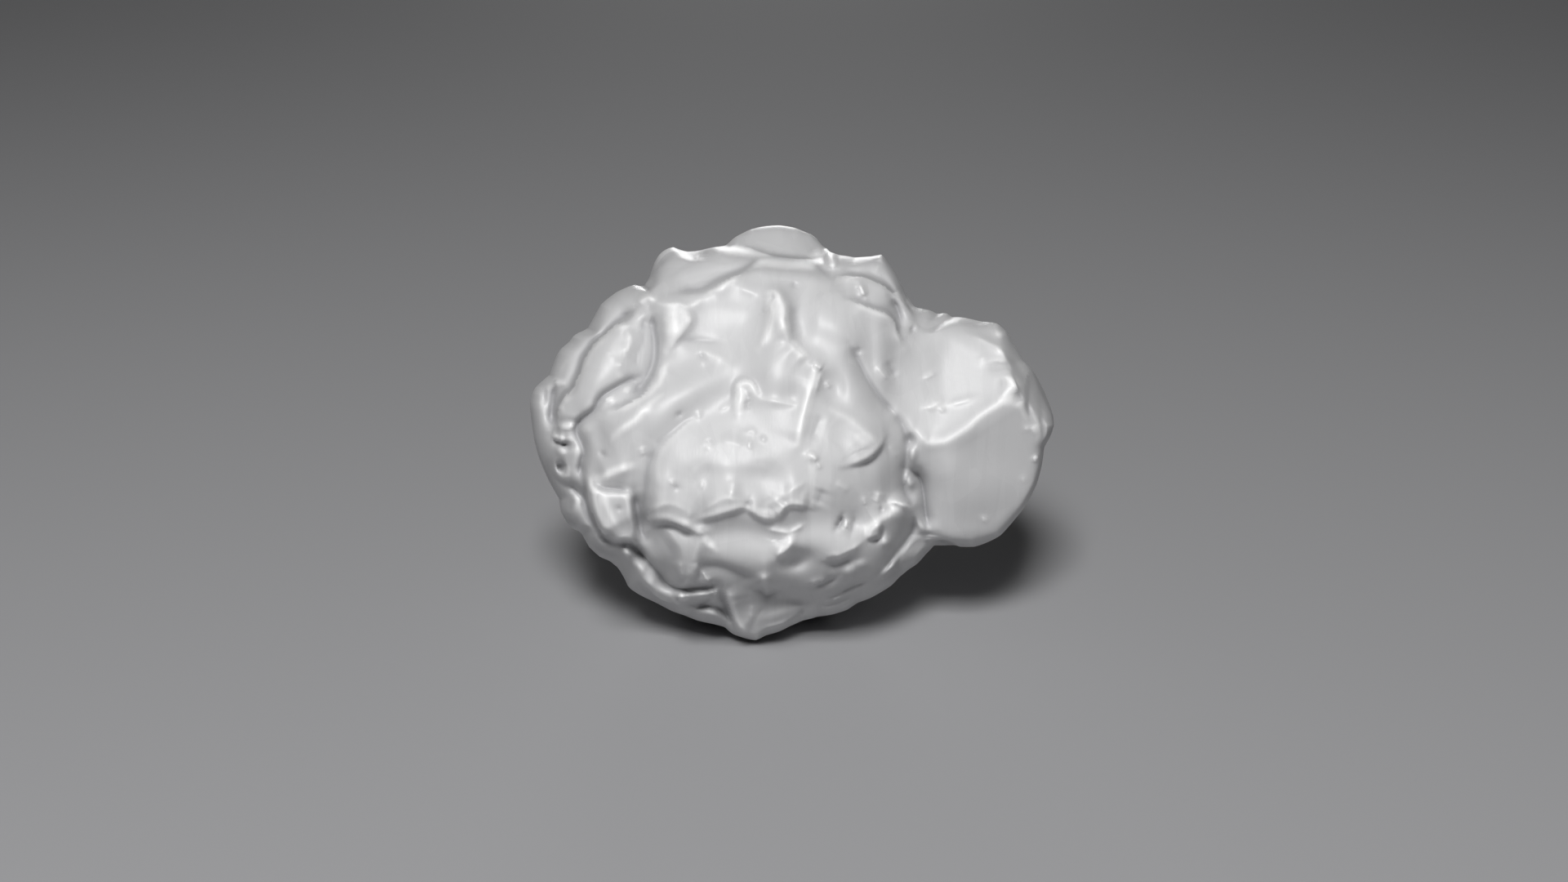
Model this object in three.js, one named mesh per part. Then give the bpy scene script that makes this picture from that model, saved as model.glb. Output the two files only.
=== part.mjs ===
// A knobbly hailstone the size of a fist: a rounded body with a big faceted lobe grown on its right side,
// a smooth dome behind its top, and plates, ledges, ridges, pits and creases all over. It is one piece of
// ice, so it is one closed mesh. Millimetres, +Z up, resting on a small flat spot at Z = 0.
//
// The face is laid out on a flat sheet that leans back from upright. A place on the sheet is [across, up],
// and out is the height above it, towards an eye point. Straight sight lines through that eye carry each
// place of the sheet onto the stone.
import * as THREE from "three";
import { mergeVertices } from "three/addons/utils/BufferGeometryUtils.js";

// Driving dimensions.
const LEAN = THREE.MathUtils.degToRad(20); // of the sheet, back from upright
const EYE = new THREE.Vector3(-1.56, -1.56, 416.7); // across, up, out
const CENTRE = new THREE.Vector3(6, 0, 0); // the point inside that the surface is measured from
const FLOOR = -35.6; // height of the flat spot, from the sheet's centre
const MIDDLE = [0.17, 1.228]; // of the finished stone, across and back, from the sheet's centre
const DETAIL = 21; // cuts along each edge of the icosahedron that the mesh starts from
const FINEST = 1.5; // narrowest flank that this mesh can show
const CROWDING = new THREE.Vector3(-0.12, -0.02, 0.28); // draws the mesh's corners together on the face
const COLOUR = 0xd4d4d4;
const ROUGHNESS = 0.45;

// The lumps that grew together: centre and radii along across, up and out, a turn within the sheet in
// degrees, and flat facets, each a direction and how far the lump is cut back in it.
const LUMPS = [
  { at: [-13, -1, 0], radii: [37.5, 35.5, 33], turn: 0, facets: [[-0.05, 0.3, 1, 5]] },
  { at: [-9, -3, 3], radii: [26, 20, 31], turn: 0, facets: [[-0.04, 0.26, 1, 5]] },
  { at: [6, 4, 1], radii: [24, 27, 30], turn: 0, facets: [[0.37, 0.13, 1, 6.8]] },
  { at: [9, -12, 1], radii: [19, 19.5, 24], turn: 0, facets: [] },
  {
    at: [32.5, 0.5, -1],
    radii: [17.5, 23.5, 30],
    turn: -8,
    facets: [
      [-0.08, 0.36, 1, 8.6],
      [0.38, -0.38, 1, 8.5],
      [-0.05, -0.45, 1, 7.2],
      [0.25, 0.8, 0.6, 2.2],
      [0.85, 0.35, 0.45, 1.9],
    ],
  },
  { at: [44, 6, -6], radii: [6.5, 8, 9], turn: 0, facets: [] },
  { at: [-3.5, 28, -9], radii: [11.7, 11.7, 11.7], turn: 0, facets: [] },
  { at: [-20.5, 24.5, -5], radii: [10, 10.5, 11], turn: 0, facets: [] },
  { at: [14.5, 18, 0], radii: [13, 15, 19], turn: 0, facets: [] },
  { at: [-7, -31, 4.5], radii: [9.5, 9.5, 8.5], turn: 0, facets: [] },
  { at: [-6, -24, -8], radii: [15, 12.6, 15], turn: 0, facets: [] },
  { at: [-6, 20, -17], radii: [17, 14, 13], turn: 0, facets: [] },
];
const BLEND = 4; // width over which lumps run into each other
const FACET_EDGE = 1.4; // rounding of a facet's rim

// The outline that the sight lines graze, clockwise from the dip left of the top.
const OUTLINE = [
  [-31, 28.1], [-29.4, 28.5], [-28.5, 27.8], [-27.3, 29.7], [-26.4, 32.5], [-25.4, 34.2], [-24.5, 34.9],
  [-23, 35.6], [-21.5, 35], [-20.1, 34.6], [-18, 34.8], [-15.5, 35.4], [-12.7, 35.8], [-11, 37.4],
  [-8, 38.9], [-6, 39.4], [-2.5, 39.7], [0.5, 39.2], [3.5, 38], [5.3, 36.5], [6, 35.6], [6.6, 35.6],
  [7.3, 34.6], [9, 34], [12, 33.5], [15, 33.7], [17.2, 34.1], [17.9, 33.2], [19.2, 31.3], [20.6, 28.9],
  [22, 25.7], [22.9, 24.4], [24, 23.9], [26.5, 23.4], [27.9, 22.7], [29.4, 23], [30.6, 22.1],
  [32.5, 22.1], [36, 21.3], [39.2, 21], [41, 19.4], [42.2, 17.2], [44.1, 13.9], [46.1, 11.9], [48.2, 8],
  [48.8, 6.5], [49.9, 3.5], [50.1, 1.5], [49.5, -0.5], [48.2, -2.7], [47.8, -6], [46.8, -9.8],
  [45.9, -11.7], [44.4, -14.3], [42.9, -16.2], [41.2, -18.2], [39.8, -19.7], [37.5, -20.9], [35, -21.8],
  [32, -21.8], [30, -21], [29, -20.4], [27.2, -21.5], [25.5, -23.3], [24, -25], [22.2, -26.2],
  [20.5, -27.6], [19, -29.2], [17, -30.5], [14.8, -31.7], [12.5, -32.5], [10.5, -33.9], [8, -34.7],
  [5, -35.2], [2, -35.9], [-0.3, -36.9], [-2.4, -38], [-5.2, -38.8], [-6.7, -39.7], [-8, -39.6],
  [-10, -39], [-11.4, -38.5], [-13, -37.1], [-15, -36.6], [-18.2, -35.9], [-20.4, -35], [-23, -34.1],
  [-26, -32.5], [-29.2, -31], [-31.3, -29.6], [-32, -28], [-33.2, -25.9], [-34.9, -24.5], [-36.7, -23.8],
  [-38.8, -21.9], [-40, -19.8], [-40.4, -18.9], [-41.6, -18.7], [-43, -17.3], [-44.3, -15],
  [-44.6, -12.5], [-45.6, -10.9], [-47, -8.2], [-48.5, -4.5], [-49.3, -1.5], [-49.8, 2], [-50.2, 5.5],
  [-49.5, 8.3], [-48.3, 9.5], [-46.4, 11.1], [-45.4, 14], [-44.5, 15.9], [-42.6, 17.4], [-41.7, 18.8],
  [-39.2, 19.8], [-38, 22], [-36.5, 24.7], [-33.5, 27],
];

// Lines on the sheet. Each is its height (negative for a groove), the width of its flank on the left of the
// way and on the right, and the way it takes. A wide flank beside a narrow one makes a ledge.
const LINES = [
  // Face plate: its overhanging lower rim, the shadowed foot under it, and its side rims.
  [2.2, 7, 1.3, [[-28, -15.3], [-25, -15.4], [-20, -15.3], [-16, -15], [-12, -14], [-8.5, -13.6], [-6, -14.8],
    [-4.5, -15], [-1.5, -13.4], [1.5, -12], [3, -11.5], [4, -8], [4.2, -5.5]]],
  [-2.1, 1.5, 2.2, [[-27, -17.2], [-22, -17.8], [-19, -19.2], [-17.5, -19.4]]],
  [-1.7, 1, 2.6, [[-17, -17.4], [-14, -16.8], [-8.5, -15.8]]],
  [-1.3, 0.9, 1.3, [[-8, -16.8], [-4, -17.1], [-1.5, -15.6], [0.3, -14], [4, -14.4]]],
  [0.7, 1, 3, [[4.4, -5.2], [4, -7], [4.1, -10], [3.9, -12]]],
  [-0.8, 2, 2, [[5.5, -10.5], [4.8, -12.5], [4.3, -14]]],
  [-0.7, 1.6, 2.6, [[-18, 3.3], [-23, 0.3], [-25.8, -2.2], [-27, -4.5]]],
  [-1.3, 2.2, 2.6, [[-25.8, -2.2], [-27.7, -7], [-28.3, -12], [-28.6, -15], [-28, -19]]],
  [1, 4, 1, [[-21.5, 14], [-23.9, 13.5], [-25.1, 11.2], [-25.5, 9.6], [-27.5, 7.6], [-30, 6.1],
    [-33.3, 4.5], [-34.6, 4.6]]],
  [0.9, 0.7, 1.5, [[-18, 15.5], [-15.5, 14.9], [-12.3, 13.4]]],
  [-0.8, 1, 1.4, [[-22, 17.6], [-17, 17.6], [-13, 17]]],
  // The hooked ridge and the long thin ridge that stand on the plate.
  [1.5, 0.9, 0.9, [[-10.3, 3.3], [-9.9, 6.5], [-10.1, 8.7], [-8.6, 9.5], [-7.7, 8.8], [-6.8, 7], [-6, 6.4]]],
  [0.5, 0.9, 0.9, [[-6, 6.4], [-3, 5.9], [1.5, 5.3]]],
  [-0.8, 1.3, 1.3, [[-11.8, 5], [-11.5, 9.5], [-8.8, 11], [-6.2, 8.6]]],
  [1.4, 0.9, 0.9, [[4.6, 12.9], [4.4, 11.5], [3.6, 8], [2.5, 4.7], [1.8, 1], [0.9, -2.4]]],
  [0.9, 0.8, 0.8, [[3.9, 13], [5.9, 12.1]]],
  [-0.7, 1.6, 2.2, [[6.5, 10], [5.8, 8], [5.3, 4], [4.2, 0]]],
  // Upper face: the edge that hides the foot of the dome, and the nose.
  [-2.6, 3.6, 0.9, [[-22.5, 26.9], [-17.5, 27.5], [-14, 29.5], [-10, 31.1], [-6, 33.4], [0, 33.3], [4, 32.4],
    [8, 29.8]]],
  [0.8, 0.8, 2.5, [[-16.5, 26.3], [-14, 27.6], [-12, 29.2], [-9.5, 30.8]]],
  [1.9, 1.4, 2.4, [[-4.6, 26.9], [-3.6, 27.2], [-2.2, 25.5], [-1.4, 22.8], [-1.2, 20.3], [-0.6, 17.4],
    [0.3, 16.2]]],
  [0.8, 0.9, 1.8, [[0.3, 16.2], [1.6, 15.2], [3.1, 13.9]]],
  [1, 0.9, 0.9, [[-4, 26.4], [-4.3, 20.2], [-5.4, 17.3], [-6.6, 16]]],
  [-0.6, 1.8, 0.9, [[0, 25], [0.3, 20.5], [0.8, 18.5]]],
  [-1.3, 1.6, 0.8, [[9, 30.3], [14, 30.1], [18, 28.4], [21, 25.8]]],
  [0.8, 0.8, 2, [[8, 29.7], [13.5, 29.9], [18, 28], [21.8, 25.2], [23, 23.5]]],
  [1, 0.8, 0.9, [[12.8, 28.7], [14, 25.9]]],
  [-1.1, 1.5, 0.9, [[10.5, 26], [14, 24.8], [18.3, 23.5], [20.2, 20.9], [20.5, 19]]],
  [0.7, 0.8, 2, [[11, 25.3], [17, 22.9], [19.7, 21.1]]],
  [-1.2, 1.2, 1.2, [[18.8, 26], [20.4, 22.8], [21, 20]]],
  // Spur that stands up beside the dome, and the cap of the shoulder.
  [2, 0.9, 1.2, [[2.6, 33.1], [4.5, 34.3], [6.4, 35.6]]],
  [1.8, 1.2, 1.2, [[6.9, 35.4], [7.6, 33.9], [9, 31.8]]],
  [0.7, 0.9, 0.9, [[-26.2, 31.5], [-25.2, 33.6], [-22.5, 35], [-21, 34.6]]],
  // Left side: the long trough, the scale with its grooves, the lip, and the rim band.
  [-2.3, 1.8, 1.8, [[-27, 23.3], [-26.3, 19], [-26, 16.5], [-26.1, 14], [-27.4, 10.4], [-28.6, 8.8]]],
  [-1, 0.8, 0.9, [[-28, 22.2], [-28.6, 20.5], [-28.5, 17.5], [-29.8, 14.5], [-29.3, 11.2]]],
  [-1.8, 0.8, 1.8, [[-30, 24], [-33.8, 21.2], [-37.8, 18], [-40.3, 14], [-41.8, 9.6], [-44.4, 6.5],
    [-45.4, 2.5], [-45, 0.5]]],
  [1, 4, 0.8, [[-30, 20.4], [-33.8, 20.6], [-38.5, 15.8], [-41.5, 9.8], [-44.6, 5], [-44.6, 1.2]]],
  [-1.8, 1.2, 1, [[-29.5, 10.8], [-34, 8.5], [-37, 6], [-38.1, 4.1], [-40.8, 2], [-41.2, 0], [-39.9, -3],
    [-40.5, -7], [-39.8, -9.5]]],
  [-0.8, 0.9, 1.6, [[-26.9, 10.2], [-30.5, 6.3], [-33.5, 5], [-36, 3.9]]],
  [1.1, 1, 0.8, [[-46, 0], [-45, -1.1], [-43.2, -1.3]]],
  [-1.3, 0.8, 0.9, [[-46, -0.9], [-45, -1.9], [-42, -2.4]]],
  [-1.2, 1, 1.2, [[-45.5, 10], [-45.9, 5], [-45.9, 0]]],
  [-1.6, 0.8, 0.9, [[-47.6, -4.4], [-46.2, -7.9], [-44.3, -9.8], [-42.2, -10.4], [-39.8, -12.9]]],
  // Left blocks: a slanting crest, a ledge, the valley under it, and the block's crest and trench.
  [1.3, 3, 1.6, [[-27, 6], [-30, 2.5], [-33, 0.5], [-34.4, -0.5], [-34.6, -1.8]]],
  [1.7, 3.5, 1.3, [[-36, -8.5], [-34.8, -6.8], [-32, -6.1], [-30.2, -5.8]]],
  [-1.7, 1.1, 1.4, [[-37.5, -8.3], [-36.3, -9.8], [-32.5, -9.4], [-30.8, -10]]],
  [1, 2, 1.4, [[-36.2, -10.7], [-36.2, -12.5], [-33, -18.3], [-31.5, -19.8]]],
  [-2.1, 2, 0.8, [[-30.2, -10.8], [-29.9, -15], [-29.2, -18.8], [-28, -20]]],
  [-2.3, 0.9, 1.2, [[-40, -9.5], [-39.3, -13.5], [-37.9, -17.3], [-36, -20], [-33.5, -21.2], [-31, -21.3],
    [-28, -24.1], [-26, -26.2], [-23.8, -29], [-21, -30], [-17, -29.5], [-14.5, -29]]],
  // Lower left: bands that follow the rim.
  [-1, 0.9, 0.9, [[-38.6, -21], [-36.3, -22.6], [-33.5, -23.5], [-32.5, -24.3]]],
  [0.8, 2.5, 0.8, [[-28.9, -27.2], [-27, -29.3], [-25, -31.6], [-22.5, -32.7]]],
  [-0.8, 0.8, 0.8, [[-30, -28.8], [-26.5, -31.6], [-21, -33.5]]],
  [-1.2, 0.8, 0.8, [[-19.4, -34.2], [-16.5, -33.1], [-15, -33.1], [-12, -35.6]]],
  // Lower face: the upper lump's rim over an arch of shade, the forked plate, and the star knob.
  [1.2, 3, 1, [[-16.9, -19.3], [-16.8, -21], [-14.2, -22.7], [-10, -24.5], [-7, -25]]],
  [-1.9, 1, 2.4, [[-18.2, -26.5], [-16.5, -24.8], [-14, -25], [-10, -26.5], [-7, -28]]],
  [0.8, 1, 1, [[-5.3, -22], [-5.1, -27], [-5.2, -30.2]]],
  [0.6, 0.8, 0.9, [[-4.8, -18.3], [-1.5, -19], [-0.3, -19.6]]],
  [1.7, 1, 3, [[-0.8, -19.3], [0, -20.8], [-1.5, -22.8], [-3.2, -24.4]]],
  [1, 3, 1, [[6.2, -24.2], [8, -23.4], [12, -22], [14.2, -20.3]]],
  [-1.2, 1, 1.4, [[6, -25], [8, -25.5], [11, -24.3], [12.5, -24.2]]],
  [-1, 0.8, 0.9, [[3.8, -29.9], [6, -28.9], [8.9, -27.3]]],
  [-0.8, 0.8, 0.8, [[9, -31], [11, -29.6], [15, -28.4]]],
  [-1.2, 0.8, 1.2, [[-8, -30], [-6, -30.3], [-5, -31.2], [-1.8, -30]]],
  // Tip: its lit column, the dark fold beside it, and the bar that ends in a knob.
  [1.3, 3.5, 0.9, [[-12.9, -29.6], [-11.5, -33], [-10.4, -36.6], [-7.5, -38.6]]],
  [-1.4, 0.9, 1.2, [[-14, -29.8], [-12.8, -33.5], [-11, -36.8]]],
  [1, 1, 1, [[-21.3, -31.2], [-19.5, -31], [-16.3, -31]]],
  [-0.9, 0.8, 0.8, [[-21.3, -33], [-17, -32.6], [-15.3, -30.8]]],
  // Lower right: the sharp crest, the dark flank under it, and the folds beside the lobe.
  [2.1, 3, 1.1, [[13.8, -18.3], [16, -17.6], [18.8, -15.9], [20.1, -13.5]]],
  [1.6, 0.9, 1, [[18.2, -13.7], [20, -13.3], [23, -14.5]]],
  [-1.5, 0.8, 1.4, [[23.3, -15.3], [23.4, -16.5], [22.5, -19.5], [19.5, -23.3], [16.5, -27]]],
  [-0.8, 0.8, 0.8, [[16.8, -28.6], [19.7, -26.8], [20.3, -25]]],
  [-1.3, 0.8, 0.8, [[9.6, -15.7], [9.3, -17], [8.4, -18.5]]],
  [0.7, 2, 0.9, [[16.7, -11], [16.3, -13.5]]],
  // Crease between the body and the lobe.
  [-1.2, 1.2, 1.8, [[11, 17], [13.5, 12], [17.6, 5.8], [19.5, 3.4]]],
  [-0.9, 1.8, 1.8, [[24.2, -8.4], [24.8, -9.4], [25.3, -13], [26, -19]]],
  // Knob at the right of the plate: its upper rim, its lower rim, and the trench round it.
  [0.7, 1.2, 3, [[6.5, 5], [11, 2.7], [14, 0.2], [16, -1.6], [16.3, -3.7]]],
  [0.5, 0.9, 2.5, [[16.3, -3.8], [15, -4.4], [12, -4.9], [9, -6.1]]],
  [-0.9, 1.8, 1.2, [[17.8, -1], [17, -4], [15, -5.8], [12, -6.4]]],
  // Lobe: the crest between its two big facets, its corner, and the bands by the far lump.
  [0.6, 2, 1.6, [[23, 0.3], [25.3, -1.7], [28, -2.1], [32.5, 0], [38, 3.9], [42.3, 7.3]]],
  [0.9, 0.9, 3, [[40, 10.8], [42.5, 10.3], [44.2, 8]]],
  [-0.9, 0.8, 0.9, [[44.6, 12.5], [45.4, 10.5], [45.2, 6], [46, 2]]],
  [0.5, 0.8, 1, [[25.3, 4.8], [27.8, 5.8], [32, 5.9], [35, 6.9]]],
];

// Round swellings and hollows: height, place, radii and turn in degrees.
const SWELLS = [
  [0.7, 3.8, -4.8, 1, 1, 0], // nick at the plate's right corner
  [0.8, -28.2, 14.8, 1.3, 3.8, 0], // lens beside the trough
  [1, -36.5, 12.5, 3.5, 9, -34], // back of the scale
  [-0.9, -36.5, -1, 2, 3, 0],
  [-2.4, -44.3, -6.9, 0.9, 1.3, 15], // hole in the left side
  [1.2, -42.8, -14, 1.8, 3.5, 0],
  [0.9, -37.6, -19.6, 1, 1.4, -30],
  [0.7, -31.5, -23, 1.3, 1.3, 0],
  [-1.3, -25, -22, 2.6, 3, 0], // hollow beside the tooth
  [1.4, -5.3, -28.3, 1, 1, 0], // star knob
  [-1.5, 0.8, -24.5, 3, 1.8, 15],
  [1, 11, -26.6, 1.7, 1.6, 0],
  [1.1, 18.8, -26.2, 1.1, 2.5, -32],
  [-1.7, 20.8, -18, 1.7, 3, -22], // dark flank under the sharp crest
  [-0.9, 11.5, -14, 2.2, 1.5, 0],
  [0.9, 12, -1.6, 4, 2.6, -20], // knob at the right of the plate
  [0.7, 22.8, -9.2, 1.1, 1.3, 0], // small lumps down the crease
  [0.7, 24.1, -13, 0.9, 1.9, 0],
  [1, 24.7, -17.2, 1, 1.9, 27],
  [-0.8, 43.2, 6.8, 1.3, 0.9, 30],
  [0.7, 39.8, 19.5, 1.2, 1.2, 0],
  [1, -16, -35, 2.8, 1.3, -10],
  [1.6, -21.3, -31.3, 1, 1, 0], // knob on the bar
  [0.7, -3.5, -35, 3, 1.4, 15],
  [-1, 0, -32, 3.5, 1.4, 0],
  [1, -22.5, 21, 2.4, 5, 15], // upper face, from its left to its right
  [-0.9, -12.5, 21.5, 6, 5, 0],
  [-1, -6, 22, 2, 4, 0],
  [-1.3, 1.8, 21.5, 2.2, 5, -5],
  [1.6, 7.5, 21.5, 4.4, 4.4, 0],
  [-0.8, 5, 16.5, 5, 2, -10],
  [1.1, 17.2, 15.5, 1.9, 6.5, 6], // band beside the crease
  [1.9, -25, 6, 11, 4.6, 37], // the brow's slanting mass, and the valley under it
  [-1.2, -16, 5, 7.5, 2.8, 25],
  [0.9, -13, -4, 10, 5, 0], // plate: its swollen middle and its two dishes
  [-0.7, -17, -8.5, 3.8, 3, 0],
  [-0.7, -6, -8.5, 4.2, 2.6, 0],
  [-1, 6.6, 5.5, 2.2, 6, -8], // beside the long thin ridge
  [0.5, 11, 6.5, 3.6, 5.5, 25],
  [1, -32, -17.5, 2.4, 3.2, 0], // left block
  [1.7, -5, -20.3, 6, 2.6, 0], // tiers under the plate
  [-1, -11, -27, 5.5, 2.2, -10],
  [-1.1, 2, -25, 3.8, 2.8, 15],
];

// Flat-topped slabs: height, width of the rim, and corners.
const SLABS = [
  [1.1, 0.9, [[-8, -13.6], [-4.5, -13.4], [-1, -12.9], [-2.7, -15.6], [-4.5, -16.2], [-7, -15.8]]],
  [1, 0.9, [[-0.5, -11.3], [2.5, -9.3], [3.8, -7], [4.1, -10.5], [3.6, -12.3], [-0.5, -12.8]]],
  [1.5, 0.9, [[-24, 24.2], [-20, 22.1], [-20.5, 20], [-23.9, 16.8]]],
  [1.9, 1.6, [[-38.8, -9], [-36.2, -10.6], [-30.8, -11.4], [-30.3, -14], [-29.8, -18], [-30.5, -20],
    [-33, -20.8], [-35.3, -19.8], [-37.5, -17], [-38.9, -14]]],
  [1.3, 0.9, [[-21.6, -22.5], [-21.4, -26], [-20.5, -28.3], [-19.6, -28.2], [-18.2, -25.5], [-17.8, -23.5]]],
  [1.6, 0.9, [[3.5, 33.8], [6.4, 35.6], [7.2, 34.9], [8.8, 31.9], [5.7, 31.5]]],
];

const { clamp, degToRad, euclideanModulo, lerp, radToDeg, smoothstep } = THREE.MathUtils;

// ---- The lumps ----

const shapedLumps = LUMPS.map(({ at, radii, turn, facets }) => {
  const centre = new THREE.Vector3(...at);
  const size = new THREE.Vector3(...radii);
  const turned = new THREE.Quaternion().setFromAxisAngle(new THREE.Vector3(0, 0, 1), degToRad(turn));
  const back = turned.clone().invert();
  const planes = facets.map(([across, up, out, cut]) => {
    const normal = new THREE.Vector3(across, up, out).normalize();
    const reach = normal.clone().applyQuaternion(back).multiply(size).length();
    return new THREE.Plane(normal, cut - reach);
  });
  return { centre, size, back, planes };
});

function blendMin(x, y, width) {
  const near = Math.max(width - Math.abs(x - y), 0) / width;
  return Math.min(x, y) - (near * near * width) / 4;
}

// Distance from a point to the lumps' common surface, negative inside.
function lumpsDistance(point) {
  const local = new THREE.Vector3();
  const scaled = new THREE.Vector3();
  let nearest = Infinity;
  for (const { centre, size, back, planes } of shapedLumps) {
    local.subVectors(point, centre);
    scaled.copy(local).applyQuaternion(back).divide(size);
    const share = scaled.length();
    let distance = (share * (share - 1)) / scaled.divide(size).length();
    for (const plane of planes) distance = -blendMin(-distance, -plane.distanceToPoint(local), FACET_EDGE);
    nearest = nearest === Infinity ? distance : blendMin(nearest, distance, BLEND);
  }
  return nearest;
}

// ---- The outline ----

const eyeDistance = EYE.distanceTo(CENTRE);
const toEye = EYE.clone().sub(CENTRE).divideScalar(eyeDistance);

// How far out the lumps' surface lies along a ray from the centre, found by closing in from far away.
const FAR = 75;
const STEPS = 60;
const PACE = 0.7; // share of the gap that each step takes
const CLOSE = 1e-3;
function surfaceAlong(ray) {
  const point = new THREE.Vector3();
  let far = FAR;
  for (let i = 0; i < STEPS; i += 1) {
    const gap = lumpsDistance(point.copy(CENTRE).addScaledVector(ray, far));
    far -= PACE * gap;
    if (Math.abs(gap) < CLOSE) break;
  }
  return far;
}

// Where the surface lies in a unit direction whose third part points to the eye: how far aside of the eye's
// axis and how far along it.
function rawPlace(direction) {
  const ray = new THREE.Vector3(direction.x, direction.y, 0).addScaledVector(toEye, direction.z);
  const far = surfaceAlong(ray);
  return { aside: far * Math.hypot(direction.x, direction.y), along: far * direction.z };
}

// Where the sight line through such a place crosses the sheet, as its distance from the centre.
const onSheet = ({ aside, along }) => (aside * eyeDistance) / (eyeDistance - along);

// The raw outline: how far out on the sheet the surface reaches, degree by degree, and at what tilt.
const DEGREES = 360;
const LOWEST = -30; // tilt towards the eye, in degrees, that the search starts from
const TILTS = 71;
const rim = Array.from({ length: DEGREES }, (_, degree) => {
  const angle = degToRad(degree);
  const reaches = Array.from({ length: TILTS }, (_, step) => {
    const tilt = degToRad(LOWEST + step);
    const level = Math.cos(tilt);
    const direction = new THREE.Vector3(level * Math.cos(angle), level * Math.sin(angle), Math.sin(tilt));
    return onSheet(rawPlace(direction));
  });
  const reach = Math.max(...reaches);
  return { reach, tilt: LOWEST + reaches.indexOf(reach) };
});
const rawOutline = rim.map(({ reach }) => reach);

// A value at an angle in radians, from a table with one entry for each degree.
function atAngle(table, angle) {
  const place = euclideanModulo(radToDeg(angle), DEGREES);
  const degree = Math.floor(place);
  return lerp(table[degree % DEGREES], table[(degree + 1) % DEGREES], place - degree);
}

// The true outline in the same form.
const angleAt = (across, up) => Math.atan2(up - CENTRE.y, across - CENTRE.x);
const reachAt = (across, up) => Math.hypot(across - CENTRE.x, up - CENTRE.y);
const corners = OUTLINE.map(([across, up]) => ({
  degree: euclideanModulo(radToDeg(angleAt(across, up)), DEGREES),
  reach: reachAt(across, up),
})).sort((p, q) => p.degree - q.degree);
const firstCorner = corners[0];
const lastCorner = corners.at(-1);
corners.unshift({ degree: lastCorner.degree - DEGREES, reach: lastCorner.reach });
corners.push({ degree: firstCorner.degree + DEGREES, reach: firstCorner.reach });
const outline = rawOutline.map((_, degree) => {
  const next = corners.findIndex((corner) => corner.degree > degree);
  const [p, q] = [corners[next - 1], corners[next]];
  return lerp(p.reach, q.reach, (degree - p.degree) / (q.degree - p.degree));
});

// How much the stone stretches to meet the outline: broadly all over, and closely near the rim alone.
const BROAD = 8; // degrees
const REACH = 3; // of the averaging, in the same broad steps
const broadly = (table) => table.map((_, degree) => {
  let sum = 0;
  let weights = 0;
  for (let step = -REACH * BROAD; step <= REACH * BROAD; step += 1) {
    const weight = Math.exp(-0.5 * (step / BROAD) ** 2);
    sum += weight * table[euclideanModulo(degree + step, DEGREES)];
    weights += weight;
  }
  return sum / weights;
});
const stretch = outline.map((reach, degree) => reach / rawOutline[degree]);
const broadStretch = broadly(stretch);
const rimTilt = broadly(rim.map(({ tilt }) => tilt));

// The surface point in a unit direction, stretched to the outline, on the sheet's axes.
const RIM = [0.9, 0.985]; // of the way out to the outline: where the close stretch takes over
const BEHIND = [3, 15]; // degrees behind the rim: where it fades again
function surfacePoint(direction) {
  const angle = Math.atan2(direction.y, direction.x);
  const place = rawPlace(direction);
  const behind = atAngle(rimTilt, angle) - radToDeg(Math.asin(direction.z));
  const inFront = 1 - smoothstep(behind, ...BEHIND);
  const nearRim = inFront * smoothstep(onSheet(place) / atAngle(rawOutline, angle), ...RIM);
  const stretched = place.aside * lerp(atAngle(broadStretch, angle), atAngle(stretch, angle), nearRim);
  return new THREE.Vector3(stretched * Math.cos(angle), stretched * Math.sin(angle), 0)
    .addScaledVector(toEye, place.along)
    .add(CENTRE);
}

// ---- The relief ----

const FLANK_POWER = 1.4; // between a sharp crest, 1, and a round one, 2
const TAPER = 3; // over which a line fades out at its ends
const END_HEIGHT = 0.25;
const SWELL_POWER = 2.3; // a little flatter on top than a round one, 2

// Height that a line adds at a place on the sheet.
function lineHeight([height, left, right, way], across, up) {
  const parts = way.slice(1).map(([x, y], i) => ({ x, y, dx: x - way[i][0], dy: y - way[i][1] }));
  const length = parts.reduce((sum, { dx, dy }) => sum + Math.hypot(dx, dy), 0);
  let nearest = Infinity;
  let lean = 0;
  let travelled = 0;
  let passed = 0;
  parts.forEach(({ x, y, dx, dy }, i) => {
    const size = Math.hypot(dx, dy);
    const [px, py] = [across - x + dx, up - y + dy];
    const share = (px * dx + py * dy) / (size * size);
    const held = clamp(share, 0, 1);
    const distance = Math.hypot(px - held * dx, py - held * dy);
    if (distance < nearest) {
      nearest = distance;
      const sideways = (dx * py - dy * px) / size / Math.max(distance, CLOSE);
      const pastAnEnd = (i === 0 && share < 0) || (i === parts.length - 1 && share > 1);
      lean = pastAnEnd ? clamp(sideways, -1, 1) : Math.sign(sideways);
      travelled = passed + held * size;
    }
    passed += size;
  });
  const flank = lerp(Math.max(right, FINEST), Math.max(left, FINEST), (lean + 1) / 2);
  const kept = Math.sqrt(Math.min(1, Math.min(left, right) / FINEST));
  const fromEnd = Math.min(travelled, length - travelled);
  const faded = lerp(END_HEIGHT, 1, smoothstep(fromEnd, 0, Math.min(TAPER, length / 3)));
  return height * kept * faded * Math.exp(-((nearest / flank) ** FLANK_POWER));
}

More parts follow.
